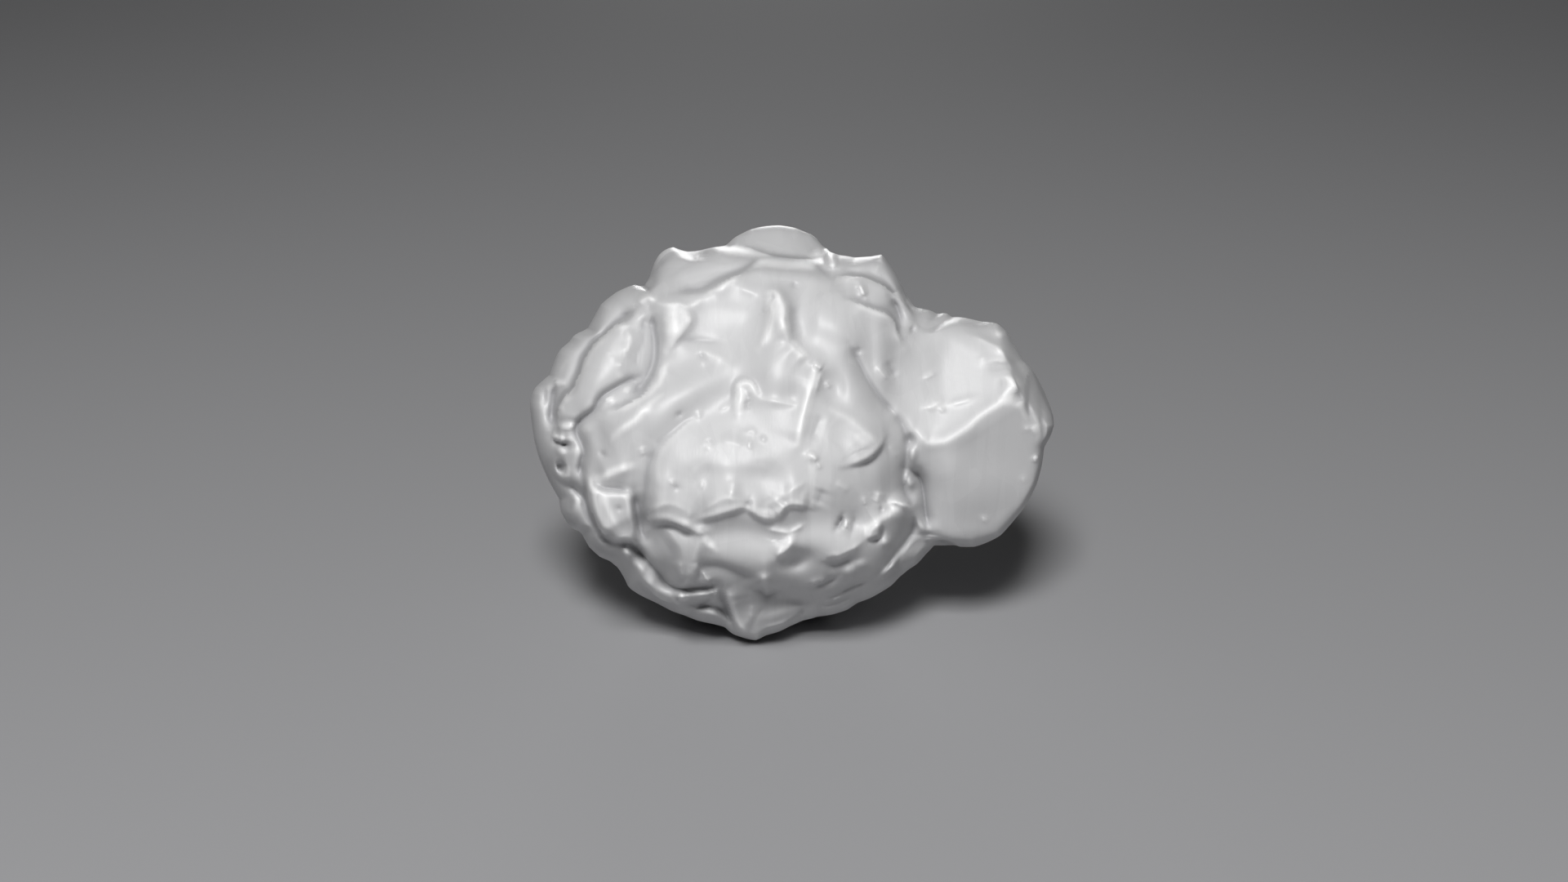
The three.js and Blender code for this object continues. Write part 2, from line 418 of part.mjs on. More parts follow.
// Height that a swelling or hollow adds.
function swellHeight([height, x, y, wide, tall, turn], across, up) {
  const place = new THREE.Vector2(across - x, up - y).rotateAround(new THREE.Vector2(), -degToRad(turn));
  const share = Math.hypot(place.x / Math.max(wide, FINEST), place.y / Math.max(tall, FINEST));
  return height * Math.exp(-(share ** SWELL_POWER));
}

// Height that a slab adds: all of it inside its corners, fading over the width of its rim.
function slabHeight([height, rim, corners], across, up) {
  let inside = false;
  let nearest = Infinity;
  corners.forEach(([x, y], i) => {
    const [x0, y0] = corners.at(i - 1);
    const [dx, dy] = [x - x0, y - y0];
    const [px, py] = [across - x0, up - y0];
    const held = clamp((px * dx + py * dy) / (dx * dx + dy * dy), 0, 1);
    nearest = Math.min(nearest, Math.hypot(px - held * dx, py - held * dy));
    if (y > up !== y0 > up && px < (dx * py) / dy) inside = !inside;
  });
  const width = Math.max(rim, FINEST);
  return height * smoothstep(inside ? nearest : -nearest, -width, width);
}

function reliefHeight(across, up) {
  const add = (list, heightOf) => list.reduce((sum, item) => sum + heightOf(item, across, up), 0);
  return add(LINES, lineHeight) + add(SWELLS, swellHeight) + add(SLABS, slabHeight);
}

// Chipped plates for the hidden side: cells strewn over a sphere, each tilted and raised its own way.
const GOLDEN_TURN = Math.PI * (3 - Math.sqrt(5));
const MULTIPLIER = 16807; // of a plain seeded row of random numbers
const MODULUS = 2147483647;
const TILTING = 3; // how much a cell leans, and how much it is raised, for its height
const RAISING = 1.4;
function strewCells({ count, height, seed }) {
  let state = seed;
  const random = () => {
    state = (state * MULTIPLIER) % MODULUS;
    return state / MODULUS - 0.5;
  };
  const spread = 2 / Math.sqrt(count);
  return Array.from({ length: count }, (_, i) => {
    const out = 1 - (2 * i + 1) / count;
    const ring = Math.sqrt(1 - out * out);
    const jitter = new THREE.Vector3(random(), random(), random()).multiplyScalar(spread);
    const centre = new THREE.Vector3(
      ring * Math.cos(i * GOLDEN_TURN),
      ring * Math.sin(i * GOLDEN_TURN),
      out,
    ).add(jitter).normalize();
    const tilt = new THREE.Vector3(random(), random(), random()).multiplyScalar((TILTING * height) / spread);
    return { centre, tilt, raised: RAISING * height * random() };
  });
}
const CHIPS = [
  { cells: strewCells({ count: 70, height: 1.7, seed: 11 }), rim: 0.07 },
  { cells: strewCells({ count: 330, height: 0.4, seed: 23 }), rim: 0.02 },
];

function chipHeight(direction) {
  const offset = new THREE.Vector3();
  let total = 0;
  for (const { cells, rim } of CHIPS) {
    let [best, second] = [-1, -1];
    let [bestHeight, secondHeight] = [0, 0];
    for (const { centre, tilt, raised } of cells) {
      const close = centre.dot(direction);
      if (close <= second) continue;
      const height = raised + tilt.dot(offset.subVectors(direction, centre));
      if (close > best) {
        [second, secondHeight] = [best, bestHeight];
        [best, bestHeight] = [close, height];
      } else {
        [second, secondHeight] = [close, height];
      }
    }
    const share = 0.5 + 0.5 * smoothstep(best - second, 0, rim);
    total += lerp(secondHeight, bestHeight, share);
  }
  return total;
}

// ---- The mesh ----

const SAME_PLACE = 1e-5; // on the unit sphere: corners closer than this are one
const sphere = new THREE.IcosahedronGeometry(1, DETAIL);
sphere.deleteAttribute("normal");
sphere.deleteAttribute("uv");
const stone = mergeVertices(sphere, SAME_PLACE);
const places = stone.getAttribute("position");
const directions = Array.from({ length: places.count }, (_, i) => (
  new THREE.Vector3().fromBufferAttribute(places, i).add(CROWDING).normalize()
));
directions.forEach((direction, i) => places.setXYZ(i, ...surfacePoint(direction)));
stone.computeVertexNormals();

// The face's relief moves a point out along its normal, and along its sight line at the rim, where the
// outline holds. The hidden side has relief of the same kind, wrapped round it from its middle and joined by
// chipped plates. Near the rim, on both sides of it, the chips and this relief only hollow.
const TURNED_AWAY = [0, 0.2]; // how squarely a point faces the eye: where the relief starts and is whole
const AT_RIM = [0.86, 0.985]; // of the way out to the outline: where the way of moving turns
const HIDDEN_TURN = 152; // degrees
const HIDDEN_SHIFT = [-6, 3];
const HIDDEN_DEPTH = 33; // of the hidden side's middle, behind the sheet
const HIDDEN_WRAP = 0.45; // how much further the wrapped sheet reaches for each millimetre of depth
const HIDDEN_HEIGHT = 0.8; // share of the face's relief
const INNERMOST = 1; // distance from the middle inside which the wrapping no longer grows
const HOLLOWED = [0.05, 0.16]; // how far a point is turned from the rim: where hollows start and are whole
const RAISED = [0.35, 0.6]; // the same for what stands out, on the hidden side
const FRONT_HOLLOWED = [0.95, 0.99]; // of the way out to the outline, on the face
const DOWN = new THREE.Vector3(0, -Math.cos(LEAN), -Math.sin(LEAN));
const FOOT = [0.75, 0.95]; // downwards, as a part of the direction: where they fade, so the foot is smooth

function hiddenRelief(point) {
  const place = new THREE.Vector2(point.x - CENTRE.x, point.y - CENTRE.y);
  const wrapped = 1 + (HIDDEN_WRAP * (point.z + HIDDEN_DEPTH)) / Math.max(place.length(), INNERMOST);
  place.multiplyScalar(wrapped).rotateAround(new THREE.Vector2(), -degToRad(HIDDEN_TURN));
  return HIDDEN_HEIGHT * reliefHeight(place.x + HIDDEN_SHIFT[0], place.y + HIDDEN_SHIFT[1]);
}

const normals = stone.getAttribute("normal");
directions.forEach((direction, i) => {
  const point = new THREE.Vector3().fromBufferAttribute(places, i);
  const normal = new THREE.Vector3().fromBufferAttribute(normals, i);
  const sight = new THREE.Vector3().subVectors(EYE, point).normalize();
  const squareness = normal.dot(sight);
  const offFoot = 1 - smoothstep(direction.dot(DOWN), ...FOOT);
  const hollow = offFoot * smoothstep(Math.abs(squareness), ...HOLLOWED);
  const chips = chipHeight(direction);
  if (squareness < 0) {
    const height = chips + hiddenRelief(point);
    const raised = height > 0 ? smoothstep(-squareness, ...RAISED) : 1;
    point.addScaledVector(normal, height * hollow * raised);
  } else {
    const scale = EYE.z / (EYE.z - point.z);
    const across = EYE.x + (point.x - EYE.x) * scale;
    const up = EYE.y + (point.y - EYE.y) * scale;
    const shareOut = reachAt(across, up) / atAngle(outline, angleAt(across, up));
    point.addScaledVector(normal, Math.min(chips, 0) * hollow * smoothstep(shareOut, ...FRONT_HOLLOWED));
    const wayOut = normal.lerp(sight, smoothstep(shareOut, ...AT_RIM)).normalize();
    point.addScaledVector(wayOut, smoothstep(squareness, ...TURNED_AWAY) * reliefHeight(across, up));
  }
  places.setXYZ(i, ...point);
});

// Stand the sheet up by its lean, and press the lowest points flat on the floor.
stone.applyMatrix4(new THREE.Matrix4().makeRotationX(Math.PI / 2 - LEAN));
stone.translate(-MIDDLE[0], -MIDDLE[1], -FLOOR);
for (let i = 0; i < places.count; i += 1) places.setZ(i, Math.max(places.getZ(i), 0));
stone.computeVertexNormals();

const material = new THREE.MeshStandardMaterial({ color: COLOUR, roughness: ROUGHNESS, metalness: 0 });
const hailstone = new THREE.Mesh(stone, material);
hailstone.name = "hailstone";
const part = new THREE.Group();
part.add(hailstone);
export default part;
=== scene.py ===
import math

import bpy
import numpy as np
from mathutils import Matrix, Vector


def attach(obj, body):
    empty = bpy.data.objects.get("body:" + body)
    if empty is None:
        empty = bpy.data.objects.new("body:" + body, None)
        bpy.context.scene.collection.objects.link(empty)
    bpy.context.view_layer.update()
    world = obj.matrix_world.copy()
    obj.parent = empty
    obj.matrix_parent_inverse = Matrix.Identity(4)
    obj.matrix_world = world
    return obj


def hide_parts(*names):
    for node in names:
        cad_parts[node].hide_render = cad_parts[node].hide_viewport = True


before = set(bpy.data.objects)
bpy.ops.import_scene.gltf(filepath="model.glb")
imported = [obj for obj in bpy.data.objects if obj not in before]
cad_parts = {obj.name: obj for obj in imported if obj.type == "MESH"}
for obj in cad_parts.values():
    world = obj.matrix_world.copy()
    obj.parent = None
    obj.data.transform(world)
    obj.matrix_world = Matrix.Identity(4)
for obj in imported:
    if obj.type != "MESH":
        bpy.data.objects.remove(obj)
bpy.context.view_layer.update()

# ---- The hailstone ----
# A giant hailstone: lumps of hard, milky ice that froze together as it tumbled, so it is one body, light
# grey and opaque with a satin sheen. Its face carries plates, ledges, ridges, pits and creases, a big
# faceted lobe grows on its right, and a smooth dome stands behind its top.
#
# Lengths are in millimetres until the mesh is made. A place on the face is given on a sheet that leans
# back from upright: (across, up), and out is the height above the sheet towards the eye point. ORIGIN is
# the point that the frame starts from, once the sheet stands up.
LEAN = math.radians(20)
EYE = np.array([-1.56, -1.56, 416.7])
CENTRE = np.array([6.0, 0.0, 0.0])
ORIGIN = np.array([0.17, 1.228, -35.6])

# The lumps that grew together: centre and radii along across, up and out, a turn within the sheet in
# degrees, and flat facets, each a direction and how far the lump is cut back in it.
LUMPS = [
    ((-13, -1, 0), (37.5, 35.5, 33), 0, [(-0.05, 0.3, 1, 5)]),
    ((-9, -3, 3), (26, 20, 31), 0, [(-0.04, 0.26, 1, 5)]),
    ((6, 4, 1), (24, 27, 30), 0, [(0.37, 0.13, 1, 6.8)]),
    ((9, -12, 1), (19, 19.5, 24), 0, []),
    ((32.5, 0.5, -1), (17.5, 23.5, 30), -8, [
        (-0.08, 0.36, 1, 8.6), (0.38, -0.38, 1, 8.5), (-0.05, -0.45, 1, 7.2), (0.25, 0.8, 0.6, 2.2),
        (0.85, 0.35, 0.45, 1.9),
    ]),
    ((44, 6, -6), (6.5, 8, 9), 0, []),
    ((-3.5, 28, -9), (11.7, 11.7, 11.7), 0, []),
    ((-20.5, 24.5, -5), (10, 10.5, 11), 0, []),
    ((14.5, 18, 0), (13, 15, 19), 0, []),
    ((-7, -31, 4.5), (9.5, 9.5, 8.5), 0, []),
    ((-6, -24, -8), (15, 12.6, 15), 0, []),
    ((-6, 20, -17), (17, 14, 13), 0, []),
]
BLEND = 4.0
FACET_EDGE = 1.4

# The outline that the sight lines graze, clockwise from the dip left of the top.
OUTLINE = [
    (-31, 28.1), (-29.4, 28.5), (-28.5, 27.8), (-27.3, 29.7), (-26.4, 32.5), (-25.4, 34.2), (-24.5, 34.9),
    (-23, 35.6), (-21.5, 35), (-20.1, 34.6), (-18, 34.8), (-15.5, 35.4), (-12.7, 35.8), (-11, 37.4),
    (-8, 38.9), (-6, 39.4), (-2.5, 39.7), (0.5, 39.2), (3.5, 38), (5.3, 36.5), (6, 35.6), (6.6, 35.6),
    (7.3, 34.6), (9, 34), (12, 33.5), (15, 33.7), (17.2, 34.1), (17.9, 33.2), (19.2, 31.3), (20.6, 28.9),
    (22, 25.7), (22.9, 24.4), (24, 23.9), (26.5, 23.4), (27.9, 22.7), (29.4, 23), (30.6, 22.1),
    (32.5, 22.1), (36, 21.3), (39.2, 21), (41, 19.4), (42.2, 17.2), (44.1, 13.9), (46.1, 11.9), (48.2, 8),
    (48.8, 6.5), (49.9, 3.5), (50.1, 1.5), (49.5, -0.5), (48.2, -2.7), (47.8, -6), (46.8, -9.8),
    (45.9, -11.7), (44.4, -14.3), (42.9, -16.2), (41.2, -18.2), (39.8, -19.7), (37.5, -20.9), (35, -21.8),
    (32, -21.8), (30, -21), (29, -20.4), (27.2, -21.5), (25.5, -23.3), (24, -25), (22.2, -26.2),
    (20.5, -27.6), (19, -29.2), (17, -30.5), (14.8, -31.7), (12.5, -32.5), (10.5, -33.9), (8, -34.7),
    (5, -35.2), (2, -35.9), (-0.3, -36.9), (-2.4, -38), (-5.2, -38.8), (-6.7, -39.7), (-8, -39.6),
    (-10, -39), (-11.4, -38.5), (-13, -37.1), (-15, -36.6), (-18.2, -35.9), (-20.4, -35), (-23, -34.1),
    (-26, -32.5), (-29.2, -31), (-31.3, -29.6), (-32, -28), (-33.2, -25.9), (-34.9, -24.5),
    (-36.7, -23.8), (-38.8, -21.9), (-40, -19.8), (-40.4, -18.9), (-41.6, -18.7), (-43, -17.3),
    (-44.3, -15), (-44.6, -12.5), (-45.6, -10.9), (-47, -8.2), (-48.5, -4.5), (-49.3, -1.5), (-49.8, 2),
    (-50.2, 5.5), (-49.5, 8.3), (-48.3, 9.5), (-46.4, 11.1), (-45.4, 14), (-44.5, 15.9), (-42.6, 17.4),
    (-41.7, 18.8), (-39.2, 19.8), (-38, 22), (-36.5, 24.7), (-33.5, 27),
]

# Lines on the sheet. Each is its height (negative for a groove), the widths of its flanks on the left of the
# way and on the right, or one for both, and the way. A wide flank beside a narrow one makes a ledge.
LINES = [
    # The plate: thin bright crests along the lip of its lower rim.
    (0.45, 3, 0.9, [(-28.2, -15.8), (-27.3, -14.8), (-25.8, -14), (-24, -13.5), (-22.3, -13.8),
     (-20.8, -14.6), (-19.3, -15.4)]),
    (0.4, 3, 0.9, [(-17.6, -15.3), (-16.8, -14.6), (-15.2, -13.5), (-13.5, -12.7), (-12, -12.3),
     (-10.6, -12.7), (-9.3, -13.3)]),
    (0.5, 3, 1, [(-5.5, -13.8), (-4.5, -13.5), (-3, -12.9), (-1, -11.7), (0.5, -10.6), (2, -9.8),
     (3.2, -9)]),
    (0.4, 0.9, [(-11.9, -12.3), (-11.3, -10.8), (-11.2, -8.8)]),
    (0.45, 0.7, 0.8, [(-0.8, -13), (-1.5, -14.2), (-2.8, -15.6)]),
    (-0.4, 0.6, [(-8.4, -12.8), (-8.5, -14.6)]),
    # The shadowed foot under the rim.
    (-1.2, 0.7, 1.6, [(-26.5, -18.2), (-25, -17.9), (-23.5, -17.9), (-22, -18.2), (-20.5, -18.9),
     (-19, -19.6), (-17.8, -19.8)]),
    # The right edge, its trough, and the nick at the corner.
    (-0.6, 1.6, [(6, -10.5), (5.3, -12.5), (4.6, -14)]),
    (0.5, 0.5, 0.6, [(2.5, -4.1), (3.5, -4.2), (4.3, -4.6), (4.5, -5), (4.2, -5.8)]),
    (0.3, 0.5, 0.6, [(4.8, -5.5), (5.5, -7)]),
    # The valley along its upper left, shallow at first, and the crest that looks down into it.
    (-0.7, 1.6, 2.6, [(-18, 3.3), (-20, 2.8), (-21.5, 1.6), (-23, 0.3), (-24.5, -0.9), (-25.8, -2.2),
     (-27, -4.5)]),
    (-1.3, 1.6, 2.6, [(-25.8, -2.2), (-27, -4.5), (-27.7, -7), (-27.9, -9.5), (-28.3, -12), (-28.6, -15),
     (-28, -19)]),
    (0.3, 3.5, 1.1, [(-18, 2.8), (-19, 2.4), (-20, 2), (-20.5, 1.6), (-22, 0), (-23, -1.2), (-24.5, -3),
     (-25.7, -5), (-25.8, -8), (-26.2, -11)]),
    # Low facet edges on the plate.
    (0.25, 4, 1.6, [(-20, -9.5), (-19, -7.5), (-17.5, -6), (-16.5, -5.5), (-14, -6), (-12, -6.3),
     (-10, -6.5)]),
    (0.2, 3, 1.2, [(-10, -6.3), (-7, -6.2), (-5, -6.5), (-3.8, -7.4)]),
    (0.3, 1, [(-14, -2), (-12.5, -1.5), (-10.5, -2), (-9, -3)]),
    # Nicks and scratches.
    (0.25, 0.4, [(-17, -2.2), (-16, -2.1), (-16, -3.5)]),
    (0.25, 0.4, [(-9, 0), (-7.8, 0.5), (-7.3, 0.4), (-7.5, -0.7)]),
    (0.25, 0.4, [(-8.8, -2.6), (-8.2, -2.4), (-7.9, -3.2)]),
    (0.25, 0.4, [(-8.4, -1.9), (-7.8, -2.1)]),
    (0.25, 0.4, [(-23.3, -9.8), (-22.7, -9.2)]),
    (-0.35, 0.4, 0.5, [(-22.8, -10.2), (-21.5, -10.7)]),
    (0.2, 0.4, [(-17.5, -9), (-17.2, -10.8)]),
    (-0.4, 0.4, [(-21, 4), (-22.3, 3)]),
    (0.3, 0.5, [(-17.9, 4.5), (-17.8, 2.5)]),
    (0.25, 0.5, [(-13.8, 4.3), (-12, 5.5)]),
    # The crest and the groove that run down to the left above the valley.
    (1, 2.5, 1, [(-23.3, 13.7), (-24.6, 12.5), (-25.1, 11.2), (-25.5, 9.6), (-26.5, 8.8), (-27.5, 7.6),
     (-29, 6.6), (-30, 6.1), (-31.8, 5), (-33.3, 4.5), (-34.6, 4.6)]),
    (-0.9, 0.7, 2, [(-26.9, 10.2), (-28, 8.6), (-29, 7.2), (-30.5, 6.3), (-31.5, 5.8), (-32.5, 5.3),
     (-33.5, 5), (-35, 4.9), (-36, 3.9)]),
    # The brow.
    (0.6, 0.7, 1.4, [(-18, 15.5), (-16.5, 15.3), (-15.5, 14.9), (-13.5, 14.2), (-12.3, 13.4)]),
    (0.3, 0.6, [(-17.3, 14), (-17, 12.5)]),
    (-0.5, 1, 1.3, [(-22, 17.6), (-19, 17.7), (-17, 17.6), (-15, 17.4), (-13, 17)]),
    # The hooked ridge, and the low crest that runs on from it.
    (1, 1, 1.5, [(-10.3, 3.3), (-10.3, 5), (-9.9, 6.5), (-10, 8), (-10.2, 8.9), (-9.5, 9.4), (-8.6, 9.5),
     (-7.9, 9.2), (-7.3, 8), (-6.8, 7), (-6, 6.4)]),
    (0.45, 0.8, 0.7, [(-6, 6.4), (-4.2, 6.1), (-3, 5.9), (-1.5, 5.7), (0, 5.4), (1.5, 5.3)]),
    (-0.4, 1.8, 1.3, [(-11.9, 4.5), (-11.8, 7), (-11.5, 9.5), (-10.3, 10.7), (-8.8, 11), (-7.2, 10.2),
     (-6.2, 8.6), (-5.3, 7.5)]),
    (-0.4, 0.6, [(-8.3, 4.2), (-8.8, 6.5)]),
    # The long thin ridge, its cap, and the trough beside it.
    (1, 0.9, 3, [(4.6, 12.9), (4.4, 11.5), (4.2, 9.5), (3.6, 8), (3, 6.5), (2.5, 4.7), (2.1, 3), (1.8, 1),
     (1.4, -0.8), (0.9, -2.4)]),
    (1.1, 0.7, [(3.9, 13), (4.7, 12.9), (5.9, 12.1)]),
    (0.5, 0.5, [(5.6, 11.7), (5.1, 10), (4.5, 7.5)]),
    (-0.5, 1.6, [(5.3, 4), (5, 2), (4.2, 0), (3.6, -2)]),
    (0.5, 0.5, [(6.3, 10), (7.3, 8.4)]),
    # The edge that hides the foot of the dome.
    (-1.7, 3, 0.8, [(-22.5, 26.9), (-20, 27.3), (-17.5, 27.5), (-16, 28.3), (-14, 29.5), (-12, 30.3),
     (-10, 31.1), (-7.5, 32.6), (-6, 33.4), (-3, 33.6), (0, 33.3), (2.3, 33), (4, 32.4), (5.5, 31.3),
     (7, 30.3), (8, 29.8)]),
    (0.8, 0.6, 1.5, [(-15.5, 27.1), (-14, 27.6), (-13, 28.5), (-12, 29.2), (-10.5, 30), (-9.5, 30.8)]),
    # The nose, its branch, and the hollow between them.
    (1.9, 1.4, 2.4, [(-4.6, 26.9), (-3.6, 27.2), (-2.7, 26.6), (-2.2, 25.5), (-1.6, 24.3), (-1.4, 22.8),
     (-1.6, 21.6), (-1.2, 20.3), (-0.9, 18.6), (-0.6, 17.4)]),
    (1.1, 0.8, 2, [(-0.6, 17.4), (0.3, 16.2), (1.6, 15.2), (3.1, 13.9)]),
    (0.8, 1.6, 0.9, [(-4, 26.4), (-4.4, 24.5), (-3.9, 22.8), (-4.3, 20.2), (-4.9, 18.8), (-5.4, 17.3),
     (-6.6, 16)]),
    (-0.6, 1.8, 0.9, [(0, 25), (0.3, 23), (0.3, 20.5), (0.8, 18.5)]),
    (0.3, 0.9, [(-10.5, 27.9), (-7.8, 27), (-6.5, 26.3)]),
    (-0.3, 0.6, [(0.5, 29), (0.2, 27.5)]),
    # The rim of the block at the upper left, and the line and spur behind it.
    (0.6, 2.5, 1.5, [(-22.3, 24.3), (-22.8, 21.5), (-23.8, 17.5)]),
    (0.3, 0.6, [(-20.2, 22.1), (-19.1, 21)]),
    (0.6, 0.6, 1.4, [(-26, 24.7), (-23.5, 24.5), (-21.5, 24.7), (-19.7, 24.1), (-18, 25.2), (-16.5, 25.9)]),
    (0.9, 0.8, 1.6, [(-30, 24.3), (-28.5, 25.7), (-27.5, 26.1), (-25.8, 25.1)]),
    # Two steps that turn down towards the crease, each a crest over a groove.
    (-1.3, 1.6, 0.6, [(9, 30.3), (12, 30.4), (14, 30.1), (16, 29.3), (18, 28.4), (21, 25.6)]),
    (0.9, 0.6, 2, [(8, 29.7), (10, 29.5), (12, 29.7), (13.5, 29.9), (15, 29.5), (16.5, 28.8), (18, 28),
     (19.5, 26.9), (20.5, 26.2), (21.8, 25.2), (23, 23.5)]),
    (1, 0.7, [(12.8, 28.7), (13.2, 27.5), (14, 25.9)]),
    (-0.3, 0.6, [(12.2, 28), (12.8, 26.8)]),
    (-1.1, 1.5, 0.7, [(10.5, 26), (12.5, 25.5), (14, 24.8), (16, 24), (18.3, 23.5), (19.5, 22.3),
     (20.2, 20.9), (20.5, 19), (21, 17.8)]),
    (0.8, 0.6, 2, [(11, 25.3), (14, 24.1), (17, 22.9), (18.5, 22.2), (19.7, 21.1), (20, 18.5),
     (21.4, 16.2)]),
    (-1.2, 0.9, [(18.8, 26), (19.8, 24.5), (20.4, 22.8), (21, 20)]),
    (-0.5, 0.6, [(9, 33), (12, 33.2), (16, 33.1), (18.3, 32)]),
    # The spur beside the dome, the dome's foot, and the cap of the shoulder.
    (0.5, 0.6, 0.9, [(2.6, 33.1), (4.5, 34.3), (6.4, 35.7)]),
    (0.5, 0.8, [(6.9, 35.4), (7.6, 33.9), (9, 31.8)]),
    (-0.6, 0.7, [(-12.7, 35.8), (-10, 35.4), (-8, 35), (-6, 34.2), (-4, 33.7), (0, 33.4), (2.4, 33.1)]),
    (0.7, 0.6, 0.7, [(-26.2, 32), (-25.5, 33.8), (-24, 35), (-22.5, 35.4), (-21, 34.8)]),
    (-0.5, 0.6, [(-25.6, 31), (-24.8, 33), (-23, 34.4), (-21.4, 34.2)]),
    # The long trough and the lens beside it.
    (-2.8, 1.3, 3.6, [(-27, 23.3), (-26.7, 21.5), (-26.3, 19), (-26, 16.5), (-26.1, 14), (-26.7, 12),
     (-27.4, 10.4), (-28.4, 9), (-29.8, 8), (-31.5, 7.1)]),
    (-0.4, 0.5, 1.4, [(-27.2, 24), (-28, 22.2), (-28.6, 20.5), (-28.5, 17.5), (-29.3, 16), (-29.8, 14.5),
     (-29.8, 13), (-29.2, 11.2)]),
    # The big scale: the groove outside it, its edge, and what is on its back.
    (-1.8, 0.7, 1.8, [(-30, 24), (-31.5, 22.6), (-33.8, 21.2), (-35, 20.1), (-36.5, 18.9), (-37.8, 18),
     (-39.3, 16), (-40.3, 14), (-40.8, 11.8), (-41.8, 9.6), (-42.3, 8.2), (-43.5, 7.5), (-44.4, 6.5),
     (-45.2, 5), (-45.4, 2.5), (-45, 0.5)]),
    (1, 4, 0.6, [(-30, 20.4), (-33.8, 20.6), (-36, 18.3), (-38.5, 15.8), (-39.9, 13), (-40.5, 11.2),
     (-41.5, 9.8), (-42, 8.3), (-43.5, 6.9), (-44.4, 5), (-44.8, 2.8), (-44.6, 1.2)]),
    (0.45, 0.7, [(-31.5, 19.8), (-31, 18.5), (-31, 17), (-32.3, 14.6)]),
    (0.25, 0.4, [(-33.5, 13.2), (-32.7, 12.8)]),
    (0.6, 0.6, [(-45, 1.3), (-43.5, 1), (-42, 1.2), (-41.5, 1.8)]),
    (0.3, 0.4, [(-44, 6.3), (-43.3, 6.8)]),
    (0.3, 0.4, [(-44.5, 4.4), (-44.2, 5.1)]),
    (-1.8, 1.2, 0.9, [(-29.5, 10.8), (-32, 9.7), (-34, 8.5), (-36, 7.3), (-37, 6), (-37.4, 5), (-38.1, 4.1),
     (-39, 3.4), (-40, 2.8), (-40.8, 2), (-41.2, 1), (-41.2, 0), (-40.8, -1), (-40.3, -2), (-39.9, -3),
     (-39.8, -4), (-40.2, -5.5), (-40.5, -7), (-40.3, -8), (-39.8, -9.5)]),
    # The lip, the rim band, and the slit under the hole.
    (1.2, 1, 0.4, [(-46, 0), (-45.7, -0.7), (-45, -1.2), (-44.2, -1.4), (-43.2, -1.3)]),
    (-1.3, 0.7, [(-46, -0.8), (-45, -1.8), (-44, -2.1), (-43, -2.4), (-42, -2.3)]),
    (-1.2, 0.8, 1.1, [(-45.5, 10), (-45.5, 8), (-45.9, 5), (-46, 2), (-45.9, 0)]),
    (0.5, 0.7, [(-43.5, 13.6), (-44.3, 12.8), (-44.8, 11.5), (-45.3, 8.5)]),
    (-0.5, 0.6, [(-47.8, 9.3), (-47.4, 8), (-47.3, 6.5), (-47.4, 5)]),
    (0.6, 0.5, [(-43.3, -6), (-43.4, -7.5), (-43.3, -9)]),
    (-1.8, 1, 1.4, [(-47.6, -4.4), (-47.2, -5.5), (-46.7, -6.8), (-46.2, -7.9), (-45.3, -8.9), (-44.3, -9.8),
     (-43.3, -10.4), (-42.2, -10.4), (-41.2, -11.1), (-40.4, -12.1), (-39.8, -12.9)]),
    (-0.7, 0.6, [(-42.2, -12.3), (-42.6, -14), (-42.6, -15.4)]),
    (-1, 0.7, [(-43.8, -16.2), (-42.6, -17), (-41.8, -17.5), (-41, -18.4)]),
    # The blocks: a slanting crest, a ledge, and the valley under it.
    (0.5, 0.6, [(-34, 6.5), (-35.3, 6.6), (-35.6, 5.8)]),
    (0.7, 1.2, 2.5, [(-27, 6), (-28, 5), (-29, 4), (-30, 2.5), (-31, 1.8), (-32, 1.2), (-33, 0.6),
     (-34.3, -0.3)]),
    (1.3, 2.5, 1.7, [(-37.5, -8.7), (-36, -8.3), (-34.8, -7.8), (-33, -7.3), (-32, -7), (-30.3, -6.8)]),
    (-0.5, 0.6, [(-37, -3.7), (-36, -4.2), (-35.5, -4.5)]),
    (-1.2, 0.9, 0.8, [(-38, -9.8), (-36.3, -10.5), (-34.3, -10.7), (-32.5, -10.9), (-31, -11.3)]),
    (0.4, 0.8, [(-29, -2.5), (-28.3, -4.5)]),
    (2.6, 4.5, 0.9, [(-38.9, -7.5), (-38.7, -12), (-37.6, -16.3), (-35.2, -21)]),
    (0.5, 2.5, 1.2, [(-36.4, -11.3), (-36, -12.5), (-35.5, -14.5), (-34.5, -16.5), (-33, -18.8)]),
    (-0.3, 0.5, [(-33.3, -14), (-33, -15)]),
    (-1.7, 2, 0.6, [(-30.2, -10.8), (-30.1, -13), (-29.9, -15), (-29.6, -16.8), (-29.2, -18.8), (-28, -20)]),
    (-2.3, 0.6, 1.1, [(-40, -9.5), (-39.5, -11.5), (-39.3, -13.5), (-38.6, -15.8), (-37.9, -17.3),
     (-37, -18.8), (-36, -20), (-34.8, -20.9), (-33.5, -21.2), (-32, -21.1), (-31, -21.3), (-30, -22.1),
     (-29, -23), (-28, -24.1), (-27, -25.2)]),
    (-1.6, 0.7, 1.5, [(-29, -23), (-28, -24.1), (-27, -25.2), (-26, -26.2), (-25.2, -27.2), (-24.6, -28.2),
     (-23.8, -29), (-22.5, -29.6), (-21, -30), (-19, -29.7), (-17, -29.5), (-15.5, -29.2), (-14.5, -29),
     (-13.6, -29.5)]),
    # Bands that follow the rim at the lower left.
    (-1, 0.7, [(-38.6, -21), (-37.5, -22), (-36.3, -22.6), (-35, -23.2), (-33.5, -23.5), (-32.5, -24.3)]),
